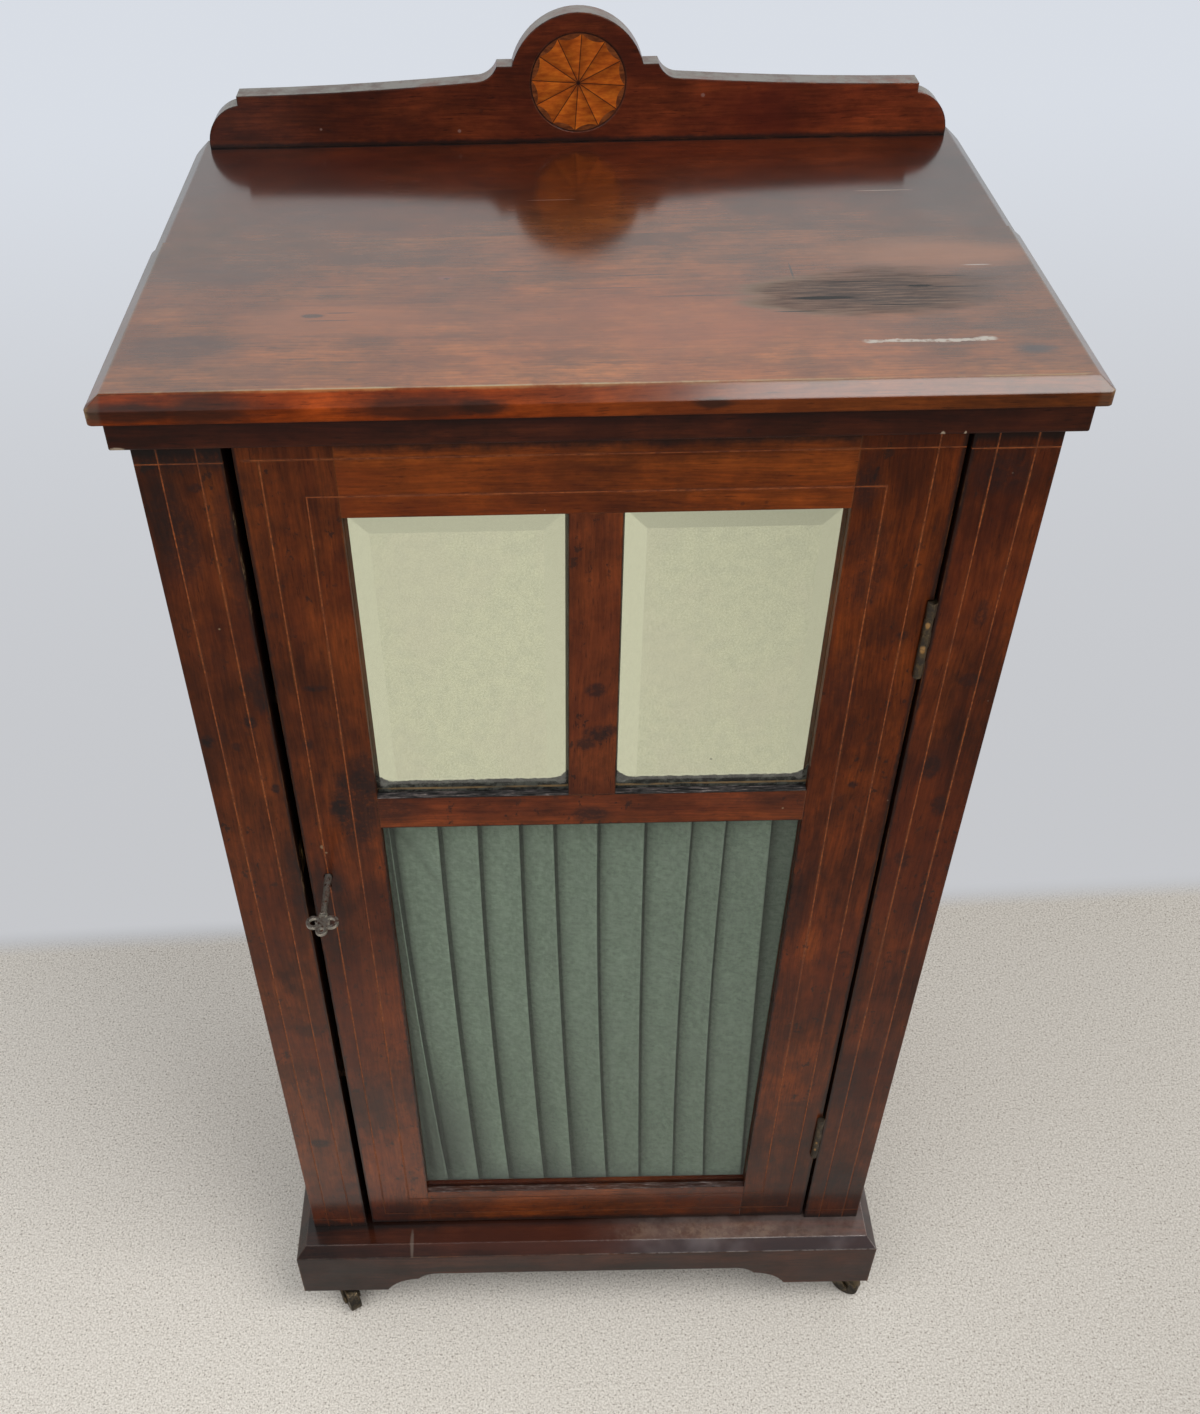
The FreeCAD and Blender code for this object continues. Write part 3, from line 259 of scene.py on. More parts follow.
def wood(name, grain, tones, seed, rough=0.5, shine=0.08, coat=0.3, coat_low=None, coat_rough=0.14,
         coat_ior=1.5, wear=0.4, wear_colour=(0.3, 0.105, 0.028), dirt=0.35, joint=None, level_low=1.0,
         figure=1.0, grimy=(), upward_coat=False, marks=None, **details):
    """Polished wood. tones are its dark, middle and light colours. The two settings ending in _low are
    the polish and a level of painted light (above 1) and shade (below 1) near the floor. joint is a Y
    where two boards meet and their edges stay crisp.
    The lines of shade, given as axis, millimetres and reach, are painted along gaps and joints.
    upward_coat leaves the polish off the upright faces. marks adds what only this piece has, and takes
    the details."""
    g = Graph(name)
    base = g.moved(seed * 1.37, seed * 2.11, seed * 0.83)
    colour, fibres, pits = grain_colour(g, base, grain, tones, figure)
    # Painted light and shade: the colour is scaled towards the floor, lighter where the level is above
    # 1, darker below
    if level_low != 1.0:
        colour = g.tint(colour, g.axes()[2], 0.14, 0.6, level_low, 1.0)
    colour = g.paint(pits, 0.55, colour, [c * 0.35 for c in tones[0]])
    grime = g.noise(base, 16.0, 8.0, 0.68)
    colour = soiled_and_shaded(g, base, colour, grime, dirt, grimy)
    soft, arris = edge_mask(g, 0.0016, joint)
    patchy = g.fade(g.noise(base, 34.0, 5.0, 0.7), 0.42, 0.62)
    colour = g.paint(g.times(arris, patchy), wear, colour, wear_colour)
    roughness = g.fade(grime, 0.35, 0.75, rough - 0.06, rough + 0.14)
    sheen = coat
    if coat_low is not None:
        sheen = g.fade(g.axes()[2], 0.1, 0.75, coat_low, coat)
    if upward_coat:
        sheen = g.fade(g.upward(), 0.5, 0.98, 0.04 * coat, coat)
    if marks:
        colour, roughness, sheen = marks(g, base, colour, roughness, sheen, arris, **details)
    ripple = g.noise(base, 14.0, 2.0, 0.4)
    height = g.math("MULTIPLY_ADD", fibres, 0.25, g.times(pits, -0.8))
    bump = g.add("Bump", {"Strength": 0.25, "Distance": 0.0002, "Height": height, "Normal": soft})
    polish = g.add("Bump", {"Strength": 0.12, "Distance": 0.001, "Height": ripple, "Normal": soft})
    return g.finish("BsdfPrincipled", {
        "Base Color": colour, "Roughness": roughness, "Specular IOR Level": shine, "Normal": bump,
        "Coat Weight": sheen, "Coat Roughness": coat_rough, "Coat IOR": coat_ior, "Coat Normal": polish})


def dress(material, *names):
    for name in names:
        slots = nodes[name].data.materials
        slots.clear()
        slots.append(material)


def board(node, *chosen, name=None, **settings):
    """Dress a node in wood of its own."""
    dress(wood(name or node, *chosen, **settings), node)


# Mahogany, piece by piece. Each wood has a dark, a middle and a light tone

RED = ((0.066, 0.016, 0.0034), (0.155, 0.042, 0.0066), (0.222, 0.069, 0.011))
DEEP = ((0.02, 0.0035, 0.0016), (0.072, 0.0115, 0.0032), (0.125, 0.0235, 0.0052))
BROWN = ((0.048, 0.0085, 0.002), (0.128, 0.0245, 0.005), (0.19, 0.04, 0.0075))
GOLD = ((0.095, 0.018, 0.0022), (0.19, 0.04, 0.004), (0.27, 0.064, 0.0075))
BLACK = ((0.008, 0.002, 0.0012), (0.03, 0.007, 0.003), (0.065, 0.016, 0.0055))


# Marks on the top. Places are millimetres across and back from the door's face, then come half sizes
TOP_STAINS = (
    (205, 142, 58, 20, 0.55, (0.3, 0.11, 0.04)), (-150, 72, 48, 20, 0.55, (0.27, 0.078, 0.02)),
    (30, 60, 110, 34, 0.35, (0.27, 0.078, 0.024)), (-228, 38, 30, 17, 0.6, (0.02, 0.009, 0.01)),
    (-228, 130, 50, 12, 0.45, (0.022, 0.01, 0.009)), (-110, 150, 70, 10, 0.35, (0.022, 0.008, 0.006)),
    (-50, 118, 60, 8, 0.3, (0.03, 0.01, 0.007)), (236, 22, 11, 5, 0.85, (0.016, 0.014, 0.018)),
    (235, 48, 26, 10, 0.35, (0.025, 0.015, 0.012)), (225, 225, 30, 26, 0.45, (0.018, 0.008, 0.007)))
TOP_DENTS = (
    (-158, 76, 6.5, 2.4, (0.03, 0.01, 0.006)), (-143, 79, 9, 0.7, (0.06, 0.018, 0.008)),
    (-150, 70, 13, 0.6, (0.06, 0.018, 0.008)), (-85, 121, 4.5, 2.0, (0.15, 0.045, 0.03)),
    (-84, 120, 1.8, 0.8, (0.02, 0.006, 0.005)), (-38, 128, 26, 0.5, (0.02, 0.007, 0.005)),
    (10, 104, 22, 0.4, (0.025, 0.008, 0.006)), (30, 120, 18, 0.5, (0.02, 0.007, 0.005)),
    (62, 92, 26, 0.5, (0.025, 0.009, 0.006)), (-20, 232, 14, 0.4, (0.2, 0.11, 0.08)),
    (119, 120, 0.6, 11, (0.02, 0.01, 0.008)), (196, 237, 18, 0.5, (0.26, 0.19, 0.15)))
TOP_CRACKS = ((133, 86, 18, 2.2), (190, 99, 7, 1.4), (152, 106, 20, 0.5), (214, 97, 20, 0.5),
              (205, 111, 17, 0.5), (116, 70, 14, 0.6), (172, 76, 15, 0.5), (226, 84, 10, 0.4))
EDGE_STAINS = ((-246, 22, 5), (-205, 26, 7), (-95, 40, 6), (-60, 14, 4), (60, 10, 3))
ALONG_THE_TOP = (0.3, 1.2, 1.0)


def top_shade_and_stains(g, base, colour, x, y, z):
    """Painted shade and a painted reflection towards the gallery, darker ends, dark lines in the grain,
    broad stains and small dents.
    """
    # Painted shade darkens the top towards the gallery, which shades it, and a painted reflection of the
    # gallery reddens it there. Both ends are darker.
    colour = g.tint(colour, y, 0.12, -0.1, 0.4, 1.3)
    colour = g.tint(colour, x, -0.27, -0.12, 0.62, 1.0)
    colour = g.tint(colour, x, 0.12, 0.25, 1.0, 0.58)
    colour = g.mix(g.fade(y, 0.02, 0.14), colour, g.mix(1.0, colour, (1.0, 0.6, 0.75), "MULTIPLY"))
    fine = g.noise(g.stretch(base, (0.035, 1.0, 1.0)), 430.0, 4.0, 0.7)
    fine = g.within(g.fade(fine, 0.57, 0.68), g.noise(base, 11.0, 3.0), 0.42, 0.62, 0.15, 0.6)
    colour = g.mix(fine, colour, (0.024, 0.008, 0.005))
    for at_x, at_y, rx, ry, strength, tone in TOP_STAINS:
        spot = blot(g, place(at_x, z, at_y), (rx, ry, 40), 0.55, 0.28, 26.0, ALONG_THE_TOP)
        colour = g.paint(spot, strength, colour, tone)
    for at_x, at_y, rx, ry, tone in TOP_DENTS:
        mark = blot(g, place(at_x, z, at_y), (rx, ry, 40), 0.3, 0.16, 90.0)
        colour = g.paint(mark, 0.85, colour, tone)
    return colour


def bare_patch(g, colour, x, z):
    """(colour, patch): worn grey wood with a pale rim at its left, a dark core and black cracks."""
    centre = place(160, z, 91)
    grain = (0.3, 1.6, 1.0)
    bare = blot(g, centre, (72, 30, 40), 0.2, 0.3, 34.0, grain)
    bare = g.within(bare, x, 0.232, 0.19, 0.35, 1.0)
    fibre = g.noise(g.stretch(g.point, (0.05, 1.0, 1.0)), 520.0, 6.0, 0.8)
    tone = g.ramp(fibre, [(0.38, (0.038, 0.028, 0.025)), (0.47, (0.09, 0.062, 0.05)),
                          (0.56, (0.145, 0.098, 0.075)), (0.66, (0.215, 0.155, 0.118))])
    colour = g.paint(bare, 0.8, colour, tone)
    inside = blot(g, centre, (66, 26, 40), 0.14, 0.24, 34.0, grain)
    rim = g.within(g.times(bare, g.minus(1.0, inside)), x, 0.16, 0.1)
    colour = g.paint(rim, 0.8, colour, (0.175, 0.135, 0.092))
    core = blot(g, place(158, z, 90), (46, 16, 40), 0.5, 0.3, 40.0, (0.3, 1.4, 1.0))
    core = g.within(core, fibre, 0.58, 0.46, 0.1, 0.6)
    colour = g.mix(core, colour, (0.02, 0.019, 0.019))
    for at_x, at_y, long, wide in TOP_CRACKS:
        crack = blot(g, place(at_x, z, at_y), (long, wide, 40), 0.25, 0.1, 110.0, (0.3, 1.0, 1.0))
        colour = g.mix(crack, colour, (0.004, 0.003, 0.003))
    return colour, bare


def long_scratch(g, colour, x, y, z):
    """(colour, scratch): a wavering pale scratch, thicker in two places, and a short fine one behind."""
    waver = g.times(g.minus(g.noise(g.point, 45.0, 3.0), 0.5), 0.0045)
    across = g.absolute(g.plus(g.minus(y, place(182, z, 33.6).y), waver))
    uneven = g.times(g.minus(g.noise(g.point, 130.0, 4.0, 0.7), 0.5), 0.004)
    body = g.fade(g.plus(across, uneven), 0.001, 0.0022, 1.0, 0.0)
    body = g.within(body, g.absolute(g.minus(x, 0.182)), 0.033, 0.038, 1.0, 0.0)
    thick = g.larger(blot(g, place(213, z, 34.4), (5, 2.4, 40), 0.4, 0.2, 120.0),
                     blot(g, place(151, z, 33.2), (5, 1.6, 40), 0.4, 0.2, 120.0))
    broken = g.fade(g.noise(g.point, 240.0, 3.0), 0.34, 0.5, 0.35, 1.0)
    scratch = g.times(g.larger(body, thick), broken)
    colour = g.paint(scratch, 0.85, colour, (0.46, 0.43, 0.38))
    hair = blot(g, place(229, z, 125), (8, 0.6, 40), 0.3, 0.2, 90.0)
    return g.paint(hair, 0.7, colour, (0.4, 0.36, 0.33)), scratch


def top_edges(g, base, colour, coat, x, y, z, height):
    """(colour, coat, worn): the worn front arris, painted light on the front edge, a painted reflection
    on the side bevels and a painted shadow in the crease before the gallery.
    """
    near_top = g.fade(height, z / 1000 - 0.0075, z / 1000 - 0.001)
    worn = g.times(near_line(g, base, 1, face_y * 1000 - 7.0, 1.9), near_top)
    worn = g.within(worn, g.noise(base, 24.0, 5.0, 0.7), 0.4, 0.58, 0.15, 1.0)
    middle = g.fade(g.absolute(g.plus(x, 0.05)), 0.05, 0.16, 0.85, 0.5)
    colour = g.paint(worn, middle, colour, (0.38, 0.29, 0.165))
    front = g.fade(y, face_y - 0.0068, face_y - 0.0076)
    coat = g.times(coat, g.minus(1.0, g.within(front, x, -0.06, 0.07, 0.88, 0.0)))
    # Painted light on the front edge: redder at the left, greyer at the right where it catches the light
    front_edge_light = g.mix(g.fade(x, -0.1, 0.1), (0.86, 0.46, 0.28), (0.55, 0.44, 0.42))
    colour = g.mix(front, colour, g.mix(1.0, colour, front_edge_light, "MULTIPLY"))
    for at_x, rx, rz in EDGE_STAINS:
        spot = blot(g, place(at_x, z - 8, -14), (rx, 14, rz), 0.4, 0.35, 60.0, (0.4, 1.0, 1.0))
        colour = g.paint(spot, 0.75, colour, (0.014, 0.008, 0.006))
    # Painted reflection of the pale room on the side bevels
    side = g.fade(g.absolute(x), top_high.x - 0.01, top_high.x - 0.007)
    side = g.within(side, y, face_y - 0.004, face_y + 0.02, 0.2, 0.55)
    colour = g.mix(side, colour, (0.12, 0.11, 0.08))
    corner = g.within(g.fade(g.absolute(x), 0.266, 0.27), y, face_y - 0.011, face_y - 0.014)
    corner = g.within(corner, g.noise(base, 90.0, 4.0, 0.7), 0.42, 0.55)
    colour = g.paint(corner, 0.6, colour, (0.33, 0.22, 0.11))
    # Painted shadow in the crease where the gallery stands on the top
    crease = g.fade(y, gallery_low.y - 0.0038, gallery_low.y - 0.0014)
    crease = g.within(crease, y, gallery_low.y + 0.006, gallery_low.y + 0.004)
    crease = g.within(crease, g.absolute(x), 0.001 - gallery_low.x, -gallery_low.x)
    crease = g.within(crease, g.noise(base, 60.0, 4.0, 0.7), 0.36, 0.5, 0.5, 1.0)
    return g.mix(crease, colour, (0.006, 0.004, 0.004)), coat, worn


def top_marks(g, base, colour, roughness, coat, arris):
    """All that time has done to the top, with painted shade, light and reflections too. It is dull where
    it is bare, scratched or worn.
    """
    z = top_high.z * 1000
    x, y, height = g.axes()
    colour = top_shade_and_stains(g, base, colour, x, y, z)
    colour, bare = bare_patch(g, colour, x, z)
    colour, scratch = long_scratch(g, colour, x, y, z)
    colour, coat, worn = top_edges(g, base, colour, coat, x, y, z, height)
    dull = g.larger(g.larger(bare, scratch), g.times(worn, 0.6))
    roughness = g.math("MULTIPLY_ADD", dull, 0.25, roughness)
    return colour, roughness, g.times(g.minus(1.0, g.times(dull, 0.62)), coat)


def gallery_marks(g, base, colour, roughness, coat, arris):
    """Darker at the left, with blackened arrises, a painted pale reflection on the top edge and small
    pale nicks.
    """
    colour = g.tint(colour, g.axes()[0], -0.2, 0.22, 0.74, 1.42)
    black = g.within(arris, g.noise(base, 30.0, 5.0, 0.7), 0.42, 0.58)
    colour = g.paint(black, 0.8, colour, (0.012, 0.008, 0.006))
    # Painted reflection: the top edge is paler, as it mirrors the room
    up = g.fade(g.upward(), 0.35, 0.8)
    pale_top_reflection = g.within(up, g.noise(base, 60.0, 5.0, 0.7), 0.36, 0.6, 0.35, 0.85)
    colour = g.mix(pale_top_reflection, colour, (0.185, 0.18, 0.16))
    back = gallery_low.y * 1000 - face_y * 1000
    for at_x, at_z, radius in ((-82, 1001, 1.1), (86, 1022, 1.2), (-178, 1004, 0.8)):
        nick = blot(g, place(at_x, at_z, back), (radius, 3, radius), 0.4, 0.3, 200.0)
        colour = g.paint(nick, 0.45, colour, (0.26, 0.16, 0.13))
    return colour, roughness, coat


def base_marks(g, base, colour, roughness, coat, arris):
    """Dark at the left, redder in the middle, brighter and greyer at the right, with painted sheen on
    the chamfer, the ledge and the arris there, a tan patch and a pale dab.
    """
    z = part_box("base_board")[1].z * 1000
    x = g.axes()[0]
    colour = g.tint(colour, x, -0.27, -0.1, 0.45, 1.0)
    redder = blot(g, place(-40, z, -16), (150, 14, 12), 0.6, 0.4, 26.0, (0.4, 1.0, 1.0))
    colour = g.paint(redder, 0.5, colour, (0.075, 0.016, 0.006))
    colour = g.tint(colour, x, 0.05, 0.16, 1.0, 2.2)
    patch = blot(g, place(132, z, -14), (82, 9, 12), 0.55, 0.45, 40.0, (0.6, 1.0, 1.0))
    patch = g.within(patch, g.noise(base, 90.0, 6.0, 0.7), 0.4, 0.6, 0.25, 1.0)
    colour = g.paint(patch, 0.9, colour, (0.21, 0.13, 0.085))
    dab = blot(g, place(-162, z, -21), (1.5, 12, 12), 0.4, 0.3, 120.0)
    colour = g.paint(dab, 0.45, colour, (0.19, 0.15, 0.12))
    up = g.upward()
    cloudy = g.noise(base, 40.0, 5.0, 0.7)
    # Painted sheen: grey-violet on the chamfer's slope at the right
    slope_sheen = g.within(g.fade(up, 0.15, 0.35), up, 0.97, 0.9)
    slope_sheen = g.within(slope_sheen, x, -0.02, 0.1, 0.0, 0.85)
    broad = g.fade(g.noise(base, 18.0, 3.0, 0.5), 0.42, 0.66)
    slope_sheen_tone = g.mix(broad, (0.036, 0.027, 0.029), (0.105, 0.088, 0.092))
    colour = g.mix(slope_sheen, colour, slope_sheen_tone)
    # Painted sheen: the ledge at the right is paler and greyer
    ledge = g.within(g.fade(up, 0.93, 0.98), x, -0.02, 0.1, 0.0, 0.45)
    ledge = g.within(ledge, cloudy, 0.34, 0.6, 0.5, 1.0)
    colour = g.mix(ledge, colour, (0.175, 0.138, 0.126))
    # Painted highlight along the arris at the right
    line = g.within(arris, g.noise(base, 46.0, 4.0, 0.7), 0.42, 0.55)
    line = g.within(line, x, -0.05, 0.1, 0.1, 0.75)
    colour = g.mix(line, colour, (0.36, 0.31, 0.29))
    return colour, roughness, coat


def face_marks(g, base, colour, roughness, coat, arris, spots, chips=(), ledge=0.0):
    """Dark spots and pale chips. The ledge setting is how strongly a painted reflection, dark with pale
    glints, lies on faces that look up.
    """
    z = g.axes()[2]
    low = g.fade(z, 0.45, 0.12)
    mottle = g.fade(g.noise(base, 28.0, 7.0, 0.7), 0.5, 0.66)
    mottle = g.times(g.math("MULTIPLY_ADD", low, 0.3, 0.22), mottle)
    colour = g.mix(mottle, colour, (0.012, 0.006, 0.005))
    specks = g.fade(g.noise(g.stretch(base, (1.0, 1.0, 0.7)), 150.0, 5.0, 0.7), 0.585, 0.64)
    specks = g.within(specks, g.noise(base, 17.0, 3.0, 0.6), 0.46, 0.58, 0.1, 0.75)
    colour = g.mix(specks, colour, (0.014, 0.008, 0.006))
    broken = g.fade(g.noise(base, 260.0, 4.0, 0.7), 0.36, 0.54, 0.45, 1.0)
    for x, height, rx, rz, strength in spots:
        spot = blot(g, place(x, height), (rx, 30, rz), 0.4, 0.42, 420.0 / max(rx, 3))
        colour = g.paint(g.times(spot, broken), strength, colour, (0.01, 0.006, 0.006))
    flaky = g.fade(g.noise(base, 330.0, 4.0, 0.7), 0.46, 0.56)
    for x, height, rx, rz in chips:
        chip = blot(g, place(x, height), (rx, 3.0, rz), 0.4, 0.35, 200.0)
        chip = g.times(chip, flaky if rz > 3 else 1.0)
        colour = g.paint(chip, 0.7, colour, (0.27, 0.18, 0.1))
    if ledge:
        # Painted reflection on faces that look up: near black with pale glints
        up = g.fade(g.upward(), 0.7, 0.9)
        glint_streak = g.noise(g.stretch(base, (0.1, 1.0, 1.0)), 760.0, 5.0, 0.75)
        tone = g.ramp(glint_streak, [(0.42, (0.01, 0.01, 0.01)), (0.54, (0.05, 0.046, 0.046)),
                               (0.62, (0.16, 0.13, 0.12)), (0.7, (0.42, 0.4, 0.4))])
        colour = g.paint(up, ledge, colour, tone)
    return colour, roughness, coat


def frieze_marks(g, base, colour, roughness, coat, arris):
    """Pale chips on the lower arris and at the worn left corner."""
    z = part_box("frieze_front")[0].z * 1000
    for x, rx in ((184, 1.2), (196, 0.7), (-258, 4.0)):
        chip = blot(g, place(x, z + 0.8, -11.5), (rx, 3.0, 1.6), 0.3, 0.25, 200.0)
        colour = g.paint(chip, 0.8, colour, (0.42, 0.33, 0.24))
    return colour, roughness, coat


TOP = dict(marks=top_marks, coat=1.0, coat_rough=0.14, coat_ior=1.88, wear=0.25, dirt=0.22,
           joint=top_high.y, figure=0.55, upward_coat=True)
SATIN = dict(coat=0.15, coat_low=0.7, coat_rough=0.17)
# LEFT and RIGHT are lit and shaded copies: near the floor the left pieces get painted light, the right
# ones painted shade
LEFT = dict(marks=face_marks, coat=0.12, coat_low=0.8, coat_rough=0.17, level_low=1.45)
RIGHT = dict(marks=face_marks, coat=0.1, coat_low=0.5, coat_rough=0.17, level_low=0.66)

board("top_board_front", "X", RED, 1, name="top_front", **TOP)
board("top_board_rear", "X", RED, 2, name="top_rear", **TOP)
board("gallery_board", "X", DEEP, 3, name="gallery", coat=0.5, coat_rough=0.1, dirt=0.2, figure=0.7,
      grimy=((2, top_high.z * 1000, 4.5),), marks=gallery_marks)
# Painted shade: the frieze's front and back are darkened because they lie under the top's overhang
for seed, node in enumerate(("frieze_front", "frieze_back"), 4):
    board(node, "X", scaled(DEEP, 0.36), seed, marks=frieze_marks, coat=0.15, wear=0.2)
for seed, node in enumerate(("frieze_left", "frieze_right"), 6):
    board(node, "Y", scaled(DEEP, 0.5), seed, coat=0.3)

# Spots: across, up, half width and height in millimetres, strength. Chips: the same without strength
left_spots = [(-223, 929, 4, 3, 0.7), (-249, 737, 5, 5, 0.9), (-219, 753, 4, 6, 0.85),
              (-211, 786, 7, 12, 0.6), (-210, 768, 5, 8, 0.6), (-211, 693, 3, 4, 0.8),
              (-231, 731, 3, 4, 0.6), (-240, 905, 13, 45, 0.6), (-222, 955, 40, 13, 0.7),
              (-210, 880, 6, 40, 0.4), (-222, 420, 9, 9, 0.5), (-232, 255, 9, 6, 0.8),
              (-210, 600, 5, 40, 0.5), (-226, 150, 24, 16, 0.5)]
left_chips = [(-204.6, 905, 0.6, 9), (-204.6, 874, 0.8, 14), (-204.6, 845, 0.5, 6),
              (-204.6, 596, 0.6, 14), (-226, 829, 0.7, 0.7)]
right_spots = [(224, 702, 6, 12, 0.7), (233, 828, 4, 10, 0.6), (236, 777, 6, 5, 0.6),
               (236, 664, 5, 9, 0.6), (219, 610, 6, 8, 0.6), (227, 929, 16, 14, 0.6),
               (240, 560, 5, 30, 0.5), (216, 330, 9, 30, 0.5), (232, 170, 22, 30, 0.6)]
board("stile_left", "Z", scaled(BROWN, 0.6, 0.62, 0.45), 8, dirt=0.5,
      grimy=((0, -205, 2.5), (2, 955, 7), (2, 111, 9)), spots=left_spots, chips=left_chips, **LEFT)
board("stile_right", "Z", scaled(BROWN, 0.58, 0.54, 0.4), 9, dirt=0.4,
      grimy=((0, 205, 3.0), (2, 955, 7), (2, 111, 9)), spots=right_spots, **RIGHT)
# The spots at 144.5 mm each side of the middle are painted shade down the reveals beside the mirrors
lock_spots = [(-160, 668, 15, 42, 0.75), (-150, 705, 8, 20, 0.6), (-175, 779, 8, 2.5, 0.75),
              (-185, 730, 3, 5, 0.7), (-183, 594, 7, 10, 0.6), (-171, 671, 6, 10, 0.8),
              (-190, 560, 9, 60, 0.4), (-176, 330, 12, 30, 0.25), (-170, 132, 30, 12, 0.5),
              (-144.5, 400, 1.6, 250, 0.8)]
lock_chips = [(-187, 633, 1.4, 1.8), (-185, 627, 1.0, 0.8)]
hinge_spots = [(188, 813, 4, 3, 0.7), (175, 684, 3, 3, 0.8), (160, 863, 12, 30, 0.4),
               (151, 923, 8, 16, 0.6), (156, 777, 10, 25, 0.3), (149, 572, 6, 40, 0.4),
               (178, 300, 12, 4, 0.4), (165, 140, 40, 16, 0.5), (144.5, 400, 1.6, 250, 0.8)]
board("door_lock_stile", "Z", scaled(BROWN, 0.62, 0.6, 0.4), 10, name="lock_stile", dirt=0.4,
      grimy=((0, -199.5, 2.5), (2, 114, 8)), spots=lock_spots, chips=lock_chips, **LEFT)
board("door_hinge_stile", "Z", scaled(BROWN, 0.84, 0.78, 0.35), 11, name="hinge_stile", dirt=0.4,
      grimy=((0, 202.5, 3.6), (2, 114, 8)), spots=hinge_spots, **dict(RIGHT, level_low=0.48))
board("door_top_rail", "X", scaled(GOLD, 0.82, 0.74, 0.5), 12, name="top_rail", dirt=0.25,
      grimy=((2, 957, 10),), **SATIN)
rail_spots = [(-130, 140, 16, 20, 0.5), (125, 128, 30, 10, 0.4)]
board("door_bottom_rail", "X", scaled(GOLD, 0.6, 0.55, 0.35), 13, name="bottom_rail", dirt=0.2,
      grimy=((2, 114, 8),), marks=face_marks, spots=rail_spots, ledge=0.7, **SATIN)
mid_spots = [(1, 773, 6, 5, 0.7), (3, 735, 9, 7, 0.8), (-4, 727, 6, 5, 0.7), (12, 738, 5, 5, 0.6),
             (-2, 661, 12, 6, 0.7), (-134, 668, 16, 10, 0.5), (100, 672, 30, 6, 0.3)]
mid_chips = [(130, 663, 0.8, 0.8)]
board("door_mid_rail", "X", scaled(BROWN, 0.92), 14, name="mid_rail",
      grimy=((2, 679.7, 1.0), (2, 651, 1.0)),
      marks=face_marks, spots=mid_spots, chips=mid_chips, ledge=1.0, **SATIN)
board("door_mullion", "Z", scaled(BROWN, 0.68), 15, name="mullion",
      grimy=((0, -15.75, 0.8), (0, 15.75, 0.8)), marks=face_marks, spots=mid_spots, **SATIN)
board("side_left", "Z", DEEP, 16, **SATIN)
board("side_right", "Z", DEEP, 17, **SATIN)
board("base_board", "X", BLACK, 18, coat=0.8, coat_rough=0.16, marks=base_marks,
      grimy=((1, face_y * 1000 - 1.5, 6.0),))
for seed, node in enumerate(("plinth_front", "plinth_left", "plinth_right"), 19):
    board(node, "X" if seed == 19 else "Y", scaled(BLACK, 0.74), seed, coat=0.4, coat_rough=0.22)
PALE = ((0.13, 0.058, 0.024), (0.24, 0.12, 0.055), (0.34, 0.19, 0.095))
hidden = dict(shelf_1="X", shelf_2="X", shelf_3="X", back_boards="Z", plinth_back="X", corner_blocks="Z",
              shelf_bearers="Y", door_stops="X", mirror_backboards="X")
for seed, (node, grain) in enumerate(hidden.items(), 23):
    board(node, grain, PALE, seed, rough=0.6, shine=0.25, coat=0.0, wear=0.1, dirt=0.25,
          wear_colour=(0.4, 0.25, 0.14))
board("glazing_beads", "X", DEEP, 33, name="beads", coat=0.2, wear=0.3)


# Inlay

WEDGE = math.radians(30.0)


def inlay(name, tones, seed, fan=False):
    """Pale wood. Lines are worn away in places, and the fan has shaded wedges with dark joints."""
    g = Graph(name)
    base = g.moved(seed, seed * 0.7, seed * 1.9)
    value = g.noise(g.stretch(base, (0.3, 1.0, 1.0)), 420.0, 4.0, 0.6)
    colour = g.ramp(value, [(0.32, tones[0]), (0.5, tones[1]), (0.68, tones[2])])
    worn = g.noise(base, 38.0, 4.0, 0.7)
    colour = g.mix(g.fade(worn, 0.5, 0.72, 0.0, 0.3), colour, [c * 0.5 for c in tones[0]])
    if not fan:
        gone = g.fade(g.noise(base, 150.0, 3.0, 0.6), 0.52, 0.62, 0.0, 0.5)
        colour = g.mix(gone, colour, (0.05, 0.012, 0.005))
        low = g.axes()[2]
        patchy = g.fade(g.noise(base, 9.0, 3.0), 0.5, 0.66, 0.0, 0.5)
        hidden = g.math("MULTIPLY_ADD", g.fade(low, 0.24, 0.13), 0.75, patchy, clamp=True)
        colour = g.mix(hidden, colour, (0.07, 0.018, 0.007))
    if fan:
        x, _, z = g.axes(g.vector("SUBTRACT", g.point, tuple(fan_centre)))
        radius = g.math("SQRT", g.plus(g.times(x, x), g.times(z, z)))
        turn = g.math("ARCTAN2", x, z)
        part = g.math("DIVIDE", g.minus(turn, math.radians(4.0)), WEDGE)
        near = g.absolute(g.minus(part, g.math("ROUND", part)))
        line = g.fade(g.times(g.times(near, WEDGE), radius), 0.0005, 0.00018)
        colour = g.tint(colour, g.math("FRACT", part), 0.0, 1.0, 0.72, 1.15)
        colour = g.paint(g.fade(radius, 0.01, 0.002), 0.4, colour, (0.05, 0.012, 0.004))
        colour = g.paint(line, 0.85, colour, (0.02, 0.006, 0.003))
    soft = g.add("Bump", {"Strength": 0.1, "Distance": 0.0002, "Height": value})
    return g.finish("BsdfPrincipled", {
        "Base Color": colour, "Roughness": 0.5, "Specular IOR Level": 0.08,
        "Coat Weight": 0.3, "Coat Roughness": 0.14, "Normal": soft})


